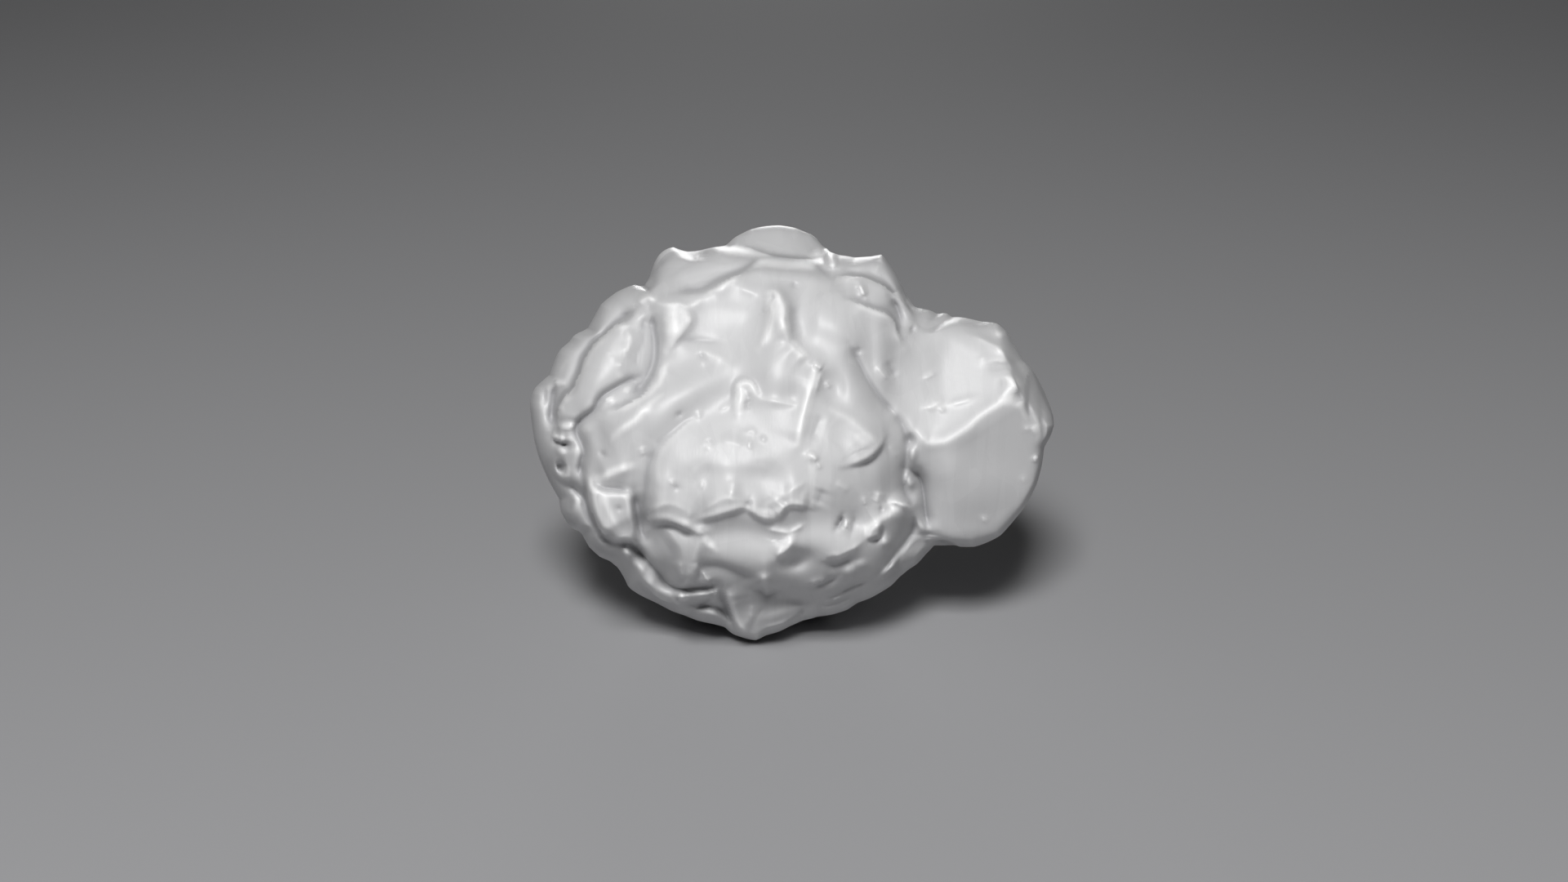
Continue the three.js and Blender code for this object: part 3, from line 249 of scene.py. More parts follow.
    (0.7, 2.5, 0.5, [(-28.9, -27.2), (-27.8, -28.6), (-27, -29.3), (-26, -30.7), (-25, -31.6),
     (-23.5, -32.2), (-22.5, -32.7)]),
    (-0.8, 0.6, [(-30, -28.8), (-28.2, -30.4), (-26.5, -31.6), (-24.5, -32.8), (-22.5, -33.5),
     (-21, -33.5)]),
    # The tooth and the hollow beside it.
    (0.5, 0.5, 1.4, [(-21.5, -24), (-21.4, -26), (-20.9, -27.5), (-20.5, -28.2)]),
    (0.6, 0.5, 0.9, [(-18.2, -24.5), (-18.2, -25.7), (-19, -26.9), (-19.6, -28.2)]),
    # The upper lump's rim over an arch of shade.
    (-1.2, 1, 3, [(-18.2, -26.5), (-17.8, -25.7), (-16.5, -25.3), (-14, -25.5), (-12.5, -26), (-11, -26.6),
     (-10, -27), (-8.5, -27.6), (-6.5, -28)]),
    (0.5, 1.2, 0.9, [(-16.8, -19.3), (-16.7, -21), (-15.7, -21.8), (-14.3, -22.6)]),
    # The ridge through the star knob, and the forked plate.
    (0.25, 1.6, [(-5.3, -23), (-5.3, -24), (-5.1, -27), (-5.4, -29), (-5.2, -30.2)]),
    (0.5, 0.6, [(-4.8, -18.3), (-3, -18.8), (-1.5, -19), (-0.8, -19.2), (-0.3, -19.6)]),
    (0.4, 0.6, [(2.3, -17.5), (0.8, -18.5), (-0.5, -19.2)]),
    (1.1, 0.9, 2, [(-0.8, -19.3), (0, -20.8), (-0.7, -22), (-1.5, -22.8), (-2.2, -23.5), (-3.2, -24.4)]),
    (0.25, 0.4, [(-2, -22.5), (-3, -23.8)]),
    (1, 2.5, 0.8, [(6.2, -24.2), (6.8, -23.6), (8, -23.4), (9, -23.5), (11, -22.4), (12, -22), (13, -21),
     (14.2, -20.3)]),
    (-1.2, 0.9, 1.3, [(6, -25), (8, -25.5), (9.5, -25), (11, -24.3), (12.5, -24.2)]),
    # Folds over the dark lower right.
    (-0.9, 0.7, [(3.8, -29.9), (5, -29.2), (6, -28.9), (7, -28.4), (8, -28), (8.9, -27.3)]),
    (0.5, 0.7, [(3, -28.8), (5.5, -28.3), (7, -27.8)]),
    (-0.8, 0.7, [(9, -31), (11, -29.6), (13, -28.9), (15, -28.4)]),
    (-0.6, 0.6, [(4.8, -33.8), (5.8, -33), (6.5, -33.2), (8, -32.7), (10, -32), (11, -31.6), (13, -31)]),
    (-0.5, 0.6, [(6.2, -31.9), (7.5, -31.5), (8.8, -31), (9.5, -30.3), (11, -29.6)]),
    (0.4, 0.6, [(7.5, -32), (9.5, -31)]),
    (-1.2, 0.7, 1.1, [(-8, -30), (-6.8, -30), (-6, -30.3), (-5, -31.2), (-4, -30.9), (-3, -30.5),
     (-1.8, -30)]),
    (0.25, 0.8, [(8, -9.5), (10, -10.5), (11, -11.5)]),
    # The tip: its lit column, the dark fold beside it, the bar and its groove.
    (1.3, 3.5, 0.7, [(-12.9, -29.6), (-12.2, -31), (-11.5, -33), (-11, -35), (-10.4, -36.6), (-9.5, -37.6),
     (-8.5, -38.3), (-7.5, -38.6)]),
    (-1.4, 0.8, 1.2, [(-14, -29.8), (-13.5, -31.5), (-12.8, -33.5), (-12, -35.2), (-11, -36.8)]),
    (0.4, 0.7, [(-7.7, -32.5), (-7.6, -34), (-8.3, -35.8)]),
    (-1.1, 0.8, [(-19.4, -34.2), (-18, -33.5), (-16.5, -33.1), (-15, -33.1), (-14, -33.6), (-13, -34.5),
     (-12, -35.6)]),
    (0.4, 0.9, [(-21.3, -31.2), (-19.5, -31), (-17.8, -30.8), (-16.3, -31)]),
    (0.5, 0.5, [(-22, -32), (-22.4, -32.8)]),
    (-0.9, 0.7, [(-21.3, -33), (-20, -32.8), (-18.3, -32.9), (-17, -32.6), (-15.8, -32), (-15.3, -30.8)]),
    (0.3, 0.7, [(-18.5, -28.9), (-16.5, -28.2), (-15, -28)]),
    (0.4, 0.8, [(-6, -37.8), (-4, -37.2), (-2, -36.6), (0, -35.9)]),
    (-0.3, 0.6, [(1.2, -34.4), (2.5, -34.2)]),
    # The sharp crest at the lower right, its second arm, and the folds below it.
    (1.8, 3, 2.6, [(13.8, -18.3), (15, -18), (16, -17.6), (17, -16.8), (18, -16.3), (18.8, -15.9),
     (19.5, -15), (19.9, -14.2), (20.1, -13.5)]),
    (1.7, 0.9, 0.8, [(18.2, -13.7), (19, -13.3), (20, -13.3), (21, -13.7), (22, -14.2), (23, -14.5)]),
    (-1.3, 1.3, 1.4, [(23.3, -15.3), (23.4, -16.5), (23.2, -18), (22.5, -19.5), (21.5, -20.8), (20.5, -22),
     (19.5, -23.3), (18.5, -24.8), (17.5, -26), (16.5, -27)]),
    (-0.8, 0.7, [(16.8, -28.6), (18.5, -27.6), (19.7, -26.8), (20.5, -26.2), (20.3, -25), (21, -23.8)]),
    (-0.8, 0.6, [(14.8, -20.8), (16, -20.7), (17, -20), (17.3, -19), (17.5, -17.5)]),
    (-0.5, 0.5, [(16.6, -14.7), (17.5, -14.7)]),
    (0.7, 1.6, 0.8, [(16.7, -11), (16.3, -13.5)]),
    (-1.4, 0.45, [(9.6, -15.7), (9.3, -17), (8.7, -18), (8.4, -18.5)]),
    (0.7, 0.5, 0.7, [(10.3, -16.5), (10.5, -17.5), (10.2, -18.4)]),
    (-0.5, 0.5, [(11.9, -15.5), (11.8, -17), (11.4, -19), (11.2, -20)]),
    (0.25, 0.6, [(13.7, -12), (14, -14)]),
    (0.5, 0.7, [(27.5, -20.5), (25, -22), (23, -24.5)]),
    # The crease between the body and the lobe.
    (-1.2, 0.8, 1.5, [(11, 17), (12.8, 13.5), (14.2, 10.5), (15.5, 8.5), (17, 6.3), (18.5, 4.8), (20, 3)]),
    (-1.4, 1, 1.2, [(19, 4), (20.5, 2.4), (21.4, 0.8), (21.9, -1), (22, -3), (21.8, -5), (21.4, -7),
     (21.2, -9), (21.5, -11.3), (22.4, -12.8), (23.3, -14.3)]),
    (-2.8, 1.2, 1.6, [(21.6, -6.9), (22.5, -7), (23.5, -7.7), (24.2, -8.4), (24.8, -9.4), (25.1, -11),
     (25.3, -13), (25.5, -15), (25.8, -17), (26, -19)]),
    (0.3, 0.6, [(18.5, -2), (19.3, -3.5), (20.5, -5)]),
    (0.5, 0.7, [(16, 13), (17.5, 11), (18.5, 10)]),
    (-0.6, 0.9, [(18, 14), (19, 12), (19.8, 10.5)]),
    (-0.4, 0.7, [(12.7, 16.5), (12.8, 15)]),
    # The knob at the right of the plate: its upper rim, its lower rim, and the trench round it.
    (0.5, 1.4, 3, [(6.5, 5), (8, 4.2), (9.5, 3.4), (11, 2.7), (12, 2), (13, 1), (14, 0.2), (15, -0.6),
     (16, -1.6), (16.4, -2.8), (16.3, -3.7)]),
    (-0.7, 2, 0.6, [(18, -1.4), (17.3, -3.1), (16.4, -4.2), (15.3, -5.2), (13.8, -6), (12, -6.4)]),
    # The crest between the lobe's two big facets, its corner, and the stripe under its top.
    (0.6, 2, 1.3, [(23, 0.3), (24.3, -0.3), (25.3, -1.7), (26.5, -2.3), (28, -2.1), (29.5, -1.9), (31, -1),
     (32.5, 0), (34, 1), (35, 2.1), (36, 3.1), (38, 4.4), (40, 5.6), (41.5, 6.7), (42.6, 8)]),
    (0.9, 0.5, 3, [(40, 10.8), (42.5, 10.3), (43.8, 9), (44.2, 8)]),
    (0.4, 0.8, 1.2, [(34, 18.8), (36, 18), (38, 17), (41, 16), (43, 14.5), (44, 13.8)]),
    (0.5, 0.7, 0.9, [(38, 16.6), (40, 15.7), (42, 14.8), (43.3, 13.6), (44.3, 12.2), (45.1, 11), (45.2, 9.5),
     (45.1, 6.5)]),
    (-0.8, 0.6, 0.7, [(44.6, 12.5), (45.4, 10.5), (45.3, 8), (45.2, 6), (45.3, 4), (46, 2)]),
    (-0.5, 0.6, [(47, 10.5), (47.5, 8), (47.7, 5), (47.9, 2), (48, 0), (48.2, -2)]),
    # Streaks, nicks and scratches.
    (0.5, 0.45, 0.6, [(25.3, 4.8), (27, 5), (27.8, 5.8), (28.2, 6.2)]),
    (0.3, 0.45, [(28, 5.2), (29, 3.8)]),
    (0.3, 0.5, 0.6, [(30, 5.3), (32, 5.9), (33.5, 6.3), (35, 6.9)]),
    (0.35, 0.5, [(25, 10.3), (26, 10.7), (27.5, 11.6)]),
    (-0.5, 0.6, [(22.5, 20), (23.5, 19.5)]),
    (0.2, 0.7, [(36, 15), (37, 12.5)]),
    (0.35, 0.4, [(36.2, -16.2), (36.8, -16.5), (37, -17.2)]),
    (0.4, 0.45, [(46, 1.3), (47.2, 0)]),
    (0.3, 0.45, [(44.5, 1.5), (45.5, 0.2)]),
    (0.2, 0.4, [(44.2, -8), (44.3, -9.5)]),
    (0.2, 0.7, [(33.3, -21.1), (35.2, -21)]),
]

# Ledges, given in the same way, but with a rounded lip on the right of the way that drops steeply.
LEDGES = [
    # The plate's overhanging lower rim: a rolled pad, a lip, and a lobe beside a square corner.
    (1.8, 5, 1.5, [(-28.3, -16.6), (-27.3, -16.1), (-25.5, -15.9), (-23.5, -16.1), (-21.5, -16.7),
     (-19.8, -17.5), (-18, -18)]),
    (1.4, 5, 1, [(-18.5, -16.3), (-17, -15.9), (-15, -15.5), (-13, -14.9), (-11.3, -14.4), (-9.8, -13.9),
     (-8.5, -13.5)]),
    (1.2, 2, 0.9, [(-9, -14), (-7.5, -14.7), (-6.5, -15.5), (-5.3, -16.1), (-4, -16.2), (-3, -15.8)]),
    (0.9, 2, 0.9, [(-3.5, -16.1), (-2.5, -15.4), (-1.7, -14.4), (-1, -13.4)]),
    (1.2, 3, 0.9, [(-1.5, -13.5), (0, -13.4), (1.5, -13.5), (3.5, -13.8)]),
    (1, 4, 3.4, [(-17, -15.5), (-14, -15), (-11, -14.2), (-8, -14.5), (-4, -15.5), (-1, -14), (3.5, -13.5)]),
    # The knob at the right of the plate.
    (1, 2.5, 0.9, [(10, -5.9), (11.8, -5.5), (13.3, -5), (14.7, -4.3), (15.8, -3.3), (16.6, -2.1),
     (17.2, -0.6)]),
    # The block at the upper left.
    (0.8, 3, 1.2, [(-24.4, 16), (-22.5, 18.6), (-20.9, 20.2), (-19.9, 21.5), (-20.3, 23), (-21.8, 24.3)]),
]

# Round swellings and hollows: height, place, radii and, for a turned one, its turn in degrees.
SWELLS = [
    (1.1, -2.5, 12, 6.5, 5), (2.2, 12.5, -6, 7, 7), (0.9, -3, 23, 1.4, 4, 10), (1.8, -2, 32.6, 8.5, 3.6),
    (-0.6, -17.2, 14.7, 0.7, 0.7), (-0.4, -16, -1.9, 0.5, 0.5), (0.2, -5.5, -1.2, 0.6, 0.6),
    (0.5, 3.8, -4.8, 1, 0.9), (-1.2, 7.8, 8.6, 2.5, 3.4), (-0.6, 0.3, 6.5, 2.4, 2.6),
    (1, -36.5, 12.5, 3.5, 9, -34), (-0.9, -36.5, -1, 2, 3), (-1, -44.3, -6.7, 0.9, 1.3, 15),
    (0.5, -44.3, -3.3, 0.9, 1.3, 10), (0.7, -42.8, -15, 2, 3.5), (-1, -36, -20, 1.4, 0.9, -35),
    (0.9, -37.6, -19.6, 1, 1.4, -30), (0.7, -31.5, -23, 1.1, 1.1), (0.3, -29, -26, 1.2, 1.8, -20),
    (-1.6, -24.3, -27.6, 2.4, 3.2, 15), (0.9, -5.4, -28.2, 1.4, 1.2), (-1.5, 0.6, -24.4, 3, 1.7, 15),
    (0.7, 11, -26.6, 1.5, 1.4), (0.5, 13.3, -25.3, 1.2, 1), (1.1, 18.8, -26.3, 1, 2.4, -32),
    (-0.8, 21.2, -20.5, 1.6, 2.6, -22), (1.7, 22, -14.5, 2.6, 2.4), (0.6, 18, -21, 1, 1),
    (-0.9, 12, -17.3, 2.5, 2.2), (-1.5, 22.6, -1.5, 0.9, 1.2), (0.8, 23, -4, 0.9, 1.6),
    (1, 22.8, -9.2, 1.1, 1.3), (0.5, 24.1, -13, 0.9, 1.9), (1.2, 24.6, -17.2, 1, 1.9, 27),
    (-0.7, 43.2, 6.8, 1.2, 0.9, 30), (0.6, 39.8, 19.5, 1.2, 1.1), (-0.4, 41.5, 17.4, 0.9, 0.7),
    (-0.5, 40, 12.7, 2, 0.8), (0.5, 46.6, -4.9, 0.5, 0.5), (1, -16, -35, 2.8, 1.3, -10),
    (1.6, -21.3, -31.3, 0.9, 0.9), (0.7, -3.5, -35, 3, 1.3, 15), (-1, 0, -32, 3.5, 1.4),
    # Broad ones, from the top down: between the block and the nose, either side of the nose, the band
    # beside the crease, the brow's slanting mass and the valley under it, the plate, and the tiers below.
    (1, -22.5, 21, 2.4, 5, 15), (-0.9, -12.5, 21.5, 6, 5), (-0.5, -7.5, 22, 3.5, 4.5),
    (-1.3, 1.8, 21.5, 2.2, 5, -5), (2.1, 11, 20, 6, 5.5), (-0.7, 5, 17.3, 5, 3.2, -10),
    (1.1, 17.2, 15.5, 1.9, 6.5, 6), (1.9, -23.8, 5.2, 11, 4.4, 37), (-0.5, -16, 5, 7.5, 2.8, 25),
    (0.9, -13, -4, 10, 5), (-0.7, -17, -8.5, 3.8, 3), (-0.7, -6, -8.5, 4.2, 2.6), (1.7, 16, -0.5, 5, 5),
    (1.3, 6, -12.5, 5, 4.5), (1.6, 13, 9, 4.5, 7, 20), (2.8, 6.5, -22.5, 10, 5.5, 5),
    (-2, 24.5, -10, 4.5, 8), (0.9, 28.5, -6.5, 4, 4), (0.8, 34, -11, 10, 5), (-1, 18.8, -11, 2.2, 3.5),
    (0.9, 26.5, 17.5, 2.5, 4.5), (-1.6, -28, -20.5, 2.8, 4.5, 15), (1.3, -33, -21.3, 3, 3.2),
    (0.8, -25, -11, 2, 4), (2.4, -8.5, -25.2, 9.5, 5, -8), (-1.1, 2, -25, 3.8, 2.8, 15),
]

# Flat-topped slabs: height, width of the rim, and corners.
SLABS = [
    (1.2, 1.1, [(-38.8, -10), (-31, -10.8), (-30.2, -14.5), (-29.6, -18), (-30, -21.3), (-33.5, -21.8),
     (-36.3, -20), (-38, -16.3), (-38.8, -13)]),
    (0.6, 0.9, [(-22, -32.2), (-21.8, -30.8), (-18, -30.3), (-14.8, -29.9), (-14.3, -31), (-17, -31.9),
     (-20.5, -32.6)]),
    (1.3, 1.4, [(-25.3, -17.6), (-17, -17.6), (-16.8, -21.5), (-18, -24.6), (-19.4, -28.2), (-20.6, -28.3),
     (-21.5, -26), (-21.9, -23), (-23.5, -20.5)]),
    (0.9, 0.7, [(3.5, 33.8), (6.5, 35.9), (7.2, 35), (9, 31.7), (5.7, 31.5)]),
    (-1.2, 0.5, [(-45, -5.5), (-43.4, -6), (-43.3, -7), (-43.5, -8), (-44.5, -7.5), (-45, -7)]),
    (0.8, 0.6, [(14.5, -18.5), (16.8, -17), (17, -18.5), (16.8, -20), (15.5, -20.3), (14.3, -20.2)]),
]

# Facets painted white as a highlight where they catch the light: how white, width of the rim, and corners.
PAINTED_LIT_FACETS = [
    (0.6, 0.6, [(-24.3, 24), (-21.8, 24.4), (-19.8, 22.2), (-20.8, 20.4), (-23.6, 16.8), (-24.4, 20)]),
    (0.5, 0.7, [(-5, 26.6), (-3.5, 27.4), (-1.8, 25.5), (-1, 22), (-0.4, 17.5), (-2, 19.5), (-6.5, 16),
     (-4.8, 20)]),
    (0.45, 0.5, [(3.6, 12.8), (5.6, 12.8), (4.8, 8.5), (3.2, 3.5), (1.6, -2.4), (0.5, -2.4), (1.5, 2.5),
     (2.6, 7)]),
    (0.5, 0.5, [(-10.9, 3.3), (-10.9, 9), (-9, 10), (-6.5, 7), (-8, 8), (-9.2, 7.5), (-9.5, 3.5)]),
    (0.5, 0.6, [(-36.6, -10.4), (-35.2, -12.5), (-32.8, -19), (-34.8, -19), (-37.5, -15)]),
    (0.5, 0.5, [(-36, -8), (-35.2, -6.6), (-30, -5.2), (-30.3, -6.7), (-34.5, -7.8)]),
    (0.6, 0.5, [(-17, -19.6), (-16.2, -19.4), (-14, -22.5), (-14.6, -23), (-16.8, -21.6)]),
    (0.45, 0.5, [(-5.5, -18.2), (-0.9, -18.8), (2.5, -17.3), (0.4, -19.4), (0.3, -21), (-3.4, -24.6),
     (-2, -21), (-1.5, -19.6)]),
    (0.6, 0.6, [(13.6, -17.4), (17.5, -15.5), (19, -13.2), (21, -13.3), (23.2, -14.9), (20, -14.9),
     (17, -17), (16.8, -19), (14.2, -20.5)]),
    (0.5, 0.5, [(2.2, -4), (4, -3.8), (4.8, -5.2), (4.2, -11), (3.6, -13), (1, -12.6), (3.2, -9.4),
     (3.2, -6)]),
    (0.5, 0.6, [(-34.8, -2), (-34.6, 0), (-30, 2.8), (-27, 6.6), (-24, 7.8), (-27, 5.2), (-29, 2),
     (-33.3, -0.6)]),
    (0.6, 0.5, [(-45, 1), (-41.8, 1.2), (-42, 2.2), (-45, 2)]),
    (0.6, 0.5, [(-21.8, -31), (-20, -30.8), (-19.6, -32), (-21.3, -32.4)]),
    (0.5, 0.5, [(3.5, 33.4), (6.4, 35.7), (7.5, 34.2), (9, 31.7), (5.9, 31.6)]),
    (0.4, 0.6, [(11.5, -0.2), (14.8, 0.3), (15.5, -1.5), (13, -2.4)]),
    (0.5, 0.5, [(24.5, 4.6), (28.5, 6.4), (28.5, 5.2), (35, 6.8), (29, 4.4)]),
    (0.5, 0.5, [(-17.5, -2), (-15.2, -1.7), (-15.8, -3.6)]),
    (0.5, 0.5, [(2.8, 14.2), (-0.5, 17.6), (0.6, 17.6), (3.2, 15)]),
    (0.5, 0.5, [(40.5, 4.6), (42.6, 7.8), (42.8, 6.2)]),
]

# Chipped plates on the hidden side: cells strewn over a sphere, each tilted and raised its own way. A row
# is how many there are, how high they stand, how wide a rim they have, and the seed of their draws.
CHIPS = [(70, 1.7, 0.07, 11), (330, 0.4, 0.02, 23)]


def unit(vectors):
    return vectors / np.linalg.norm(vectors, axis=-1, keepdims=True)


def smoothstep(value, low, high):
    share = np.clip((value - low) / (high - low), 0, 1)
    return share * share * (3 - 2 * share)


def lerp(start, end, share):
    return start + (end - start) * share


def blend_min(x, y, width):
    near = np.maximum(width - np.abs(x - y), 0) / width
    return np.minimum(x, y) - near * near * width / 4


def turned_back(vectors, degrees):
    """The vectors turned within the sheet by so many degrees the other way."""
    c, s = math.cos(math.radians(degrees)), math.sin(math.radians(degrees))
    return vectors @ np.array([[c, -s, 0], [s, c, 0], [0, 0, 1]])


def lumps_distance(points):
    """Distance from each point to the lumps' common surface, negative inside."""
    nearest = None
    for centre, radii, turn, facets in LUMPS:
        radii = np.array(radii, float)
        local = points - np.array(centre)
        scaled = turned_back(local, turn) / radii
        share = np.linalg.norm(scaled, axis=1)
        distance = share * (share - 1) / np.linalg.norm(scaled / radii, axis=1)
        for *direction, cut in facets:
            normal = unit(np.array(direction))
            reach = np.linalg.norm(turned_back(normal, turn) * radii)
            distance = -blend_min(-distance, reach - cut - local @ normal, FACET_EDGE)
        nearest = distance if nearest is None else blend_min(nearest, distance, BLEND)
    return nearest


eye_distance = np.linalg.norm(EYE - CENTRE)
to_eye = (EYE - CENTRE) / eye_distance
# Where the search for the surface starts, its most steps, a step's share of the gap, and how near will do.
FAR = 75.0
STEPS = 60
PACE = 0.7
CLOSE = 1e-3


def surface_along(rays):
    """How far out the lumps' surface lies along each ray from the centre, closing in from far away."""
    far = np.full(len(rays), FAR)
    busy = np.arange(len(rays))
    for _ in range(STEPS):
        gap = lumps_distance(CENTRE + rays[busy] * far[busy, None])
        far[busy] -= PACE * gap
        busy = busy[np.abs(gap) > CLOSE]
        if len(busy) == 0:
            break
    return far


# The turn from cell to cell, the seeded row's numbers, how many of them a cell draws, how much it tilts and
# rises, and how many pairs of point and cell are weighed at once.
GOLDEN_TURN = math.pi * (3 - math.sqrt(5))
MULTIPLIER = 16807
MODULUS = 2147483647
DRAWS = 7
TILTING = 3
RAISING = 1.4
AT_ONCE = 20_000_000


def strewn_cells(count, height, seed):
    """Centres, tilts and raised heights of cells strewn over a sphere, from a seeded row of numbers."""
    state = seed
    draws = np.empty((count, DRAWS))
    for draw in np.ndindex(draws.shape):
        state = state * MULTIPLIER % MODULUS
        draws[draw] = state / MODULUS - 0.5
    spread = 2 / math.sqrt(count)
    i = np.arange(count)
    out = 1 - (2 * i + 1) / count
    ring = np.sqrt(1 - out * out)
    even = np.stack([ring * np.cos(i * GOLDEN_TURN), ring * np.sin(i * GOLDEN_TURN), out], axis=1)
    centres = unit(even + draws[:, :3] * spread)
    return centres, draws[:, 3:6] * (TILTING * height / spread), RAISING * height * draws[:, 6]


def chip_height(directions, count, height, rim, seed):
    centres, tilts, raised = strewn_cells(count, height, seed)
    total = np.empty(len(directions))
    for part in np.array_split(np.arange(len(directions)), max(1, len(directions) * count // AT_ONCE)):
        close = directions[part] @ centres.T
        pair = np.argpartition(-close, 1, axis=1)[:, :2]
        order = np.argsort(-np.take_along_axis(close, pair, 1), axis=1)
        pair = np.take_along_axis(pair, order, 1)
        closest = np.take_along_axis(close, pair, 1)
        offsets = directions[part][:, None] - centres[pair]
        heights = raised[pair] + np.einsum("ijk,ijk->ij", tilts[pair], offsets)
        share = 0.5 + 0.5 * smoothstep(closest[:, 0] - closest[:, 1], 0, rim)
        total[part] = lerp(heights[:, 1], heights[:, 0], share)
    return total


def raw_place(directions):
    """Where the surface lies in each direction: how far aside of the eye's axis, and how far along it."""
    rays = directions * np.array([1, 1, 0]) + directions[:, 2:] * to_eye
    far = surface_along(rays)
    return far * np.hypot(directions[:, 0], directions[:, 1]), far * directions[:, 2]


def on_sheet(aside, along):
    return aside * eye_distance / (eye_distance - along)


# The raw outline, how far out on the sheet the lumps reach, degree by degree, and the true one.
DEGREES = 360
LOWEST = -30
TILTS = 71
angles, tilts = np.meshgrid(
    np.radians(np.arange(DEGREES)), np.radians(LOWEST + np.arange(TILTS)), indexing="ij"
)
towards = np.stack([np.cos(tilts) * np.cos(angles), np.cos(tilts) * np.sin(angles), np.sin(tilts)], axis=-1)
sheet_reach = on_sheet(*raw_place(towards.reshape(-1, 3))).reshape(DEGREES, TILTS)
raw_outline = sheet_reach.max(axis=1)
rim_tilt = LOWEST + sheet_reach.argmax(axis=1)


def angle_at(across, up):
    return np.degrees(np.arctan2(up - CENTRE[1], across - CENTRE[0])) % DEGREES


def reach_at(across, up):
    return np.hypot(across - CENTRE[0], up - CENTRE[1])


def at_angle(table, degrees):
    return np.interp(degrees, np.arange(DEGREES + 1), np.append(table, table[0]))


corners = np.array(OUTLINE, float).T
order = np.argsort(angle_at(*corners))
corners = corners[:, order]
outline = np.interp(np.arange(DEGREES), angle_at(*corners), reach_at(*corners), period=DEGREES)

# How much the stone stretches to meet the outline: broadly all over, evened out over BROAD degrees, and
# closely near the rim alone.
BROAD = 8
REACH = 3
stretch = outline / raw_outline
steps = np.arange(-REACH * BROAD, REACH * BROAD + 1)
weights = np.exp(-0.5 * (steps / BROAD) ** 2)


def broadly(table):
    return sum(w * np.roll(table, s) for w, s in zip(weights, steps)) / weights.sum()


broad_stretch = broadly(stretch)
broad_rim_tilt = broadly(rim_tilt)
# Where the close stretch comes in, as a share of the way to the outline, and goes, in degrees behind it.
RIM = (0.915, 0.99)
BEHIND = (3, 15)
TINY = 1e-12


def surface_points(directions):
    """The surface point in each unit direction, stretched to the outline, on the sheet's axes."""
    degrees = np.degrees(np.arctan2(directions[:, 1], directions[:, 0])) % DEGREES
    aside, along = raw_place(directions)
    near_rim = smoothstep(on_sheet(aside, along) / at_angle(raw_outline, degrees), *RIM)
    tilt = np.degrees(np.arcsin(directions[:, 2]))
    near_rim *= 1 - smoothstep(at_angle(broad_rim_tilt, degrees) - tilt, *BEHIND)
    aside = aside * lerp(at_angle(broad_stretch, degrees), at_angle(stretch, degrees), near_rim)
    flat = unit(directions[:, :2] + TINY)
    return np.column_stack([aside[:, None] * flat, np.zeros(len(aside))]) + along[:, None] * to_eye + CENTRE


# ---- its relief, on the sheet
# The narrowest flank, how the flanks of lines and ledges fall on the left and right, how far they reach,
# and over what length or part of its way a line fades to what share at its ends.
FINEST = 0.5
FLANK_POWERS = (1.4, 1.4)
LEDGE_POWERS = (1.6, 3)
WIDE_ENOUGH = 3.2
TAPER = 3.0
TAPER_PART = 3
END_HEIGHT = 0.25
# How swellings fall, and how high a line must be for its full painted highlight along a crest, or painted
# shade along a groove, and how wide that painted band is.
SWELL_POWER = 2.3
FULL_HIGHLIGHT_AT = 1.2
PAINTED_LIGHT_WIDTH = 0.7
# How much of each side a way's corners lose, and how often.
CORNER_CUT = 0.25
CORNER_CUTS = 2


def rounded_off(way, closed=False):
    """The way with its corners cut off, so that it bends softly."""
    way = np.array(way, float)
    for _ in range(CORNER_CUTS):
        ends = np.roll(way, -1, axis=0) if closed else way[1:]
        starts = way if closed else way[:-1]
        cut = [lerp(starts, ends, CORNER_CUT), lerp(starts, ends, 1 - CORNER_CUT)]
        cut = np.stack(cut, axis=1).reshape(-1, 2)
        way = cut if closed else np.concatenate([way[:1], cut, way[-1:]])
    return way


def add_line(total, painted_light, across, up, powers, height, *flanks, way):
    """Adds a line's height, and its painted highlight along a crest or painted shade along a groove, to the
    places near its way.
    """
    left, right = flanks[0], flanks[-1]
    way = rounded_off(way)
    margin = WIDE_ENOUGH * max(left, right, FINEST)
    low, high = way.min(axis=0) - margin, way.max(axis=0) + margin
    near = np.flatnonzero((across > low[0]) & (across < high[0]) & (up > low[1]) & (up < high[1]))
    if len(near) == 0:
        return
    x, y = across[near], up[near]
    spans = np.diff(way, axis=0)
    sizes = np.hypot(*spans.T)
    nearest = np.full(len(near), np.inf)
    lean = np.zeros(len(near))
    travelled = np.zeros(len(near))
    passed = 0.0
    for i, ((x0, y0), (dx, dy), size) in enumerate(zip(way, spans, sizes)):
        px, py = x - x0, y - y0
        share = (px * dx + py * dy) / (size * size)
        held = np.clip(share, 0, 1)
        distance = np.hypot(px - held * dx, py - held * dy)
        closer = distance < nearest
        sideways = (dx * py - dy * px) / size / np.maximum(distance, CLOSE)
        past_an_end = (share < 0) & (i == 0) | (share > 1) & (i == len(spans) - 1)
        leaning = np.where(past_an_end, np.clip(sideways, -1, 1), np.sign(sideways))
        nearest = np.where(closer, distance, nearest)
        lean = np.where(closer, leaning, lean)
        travelled = np.where(closer, passed + held * size, travelled)
        passed += size
    to_left = (lean + 1) / 2
    flank = lerp(max(right, FINEST), max(left, FINEST), to_left)
    power = lerp(powers[1], powers[0], to_left)
    from_end = np.minimum(travelled, passed - travelled)
    faded = lerp(END_HEIGHT, 1, smoothstep(from_end, 0, min(TAPER, passed / TAPER_PART)))
    total[near] += height * faded * np.exp(-((nearest / flank) ** power))
    # A painted highlight along a crest, or below 0 a painted shade along a groove.
    white = np.clip(height / FULL_HIGHLIGHT_AT, -1, 1) * faded * np.exp(-((nearest / PAINTED_LIGHT_WIDTH) ** 2))
    painted_light[near] = np.where(np.abs(white) > np.abs(painted_light[near]), white, painted_light[near])


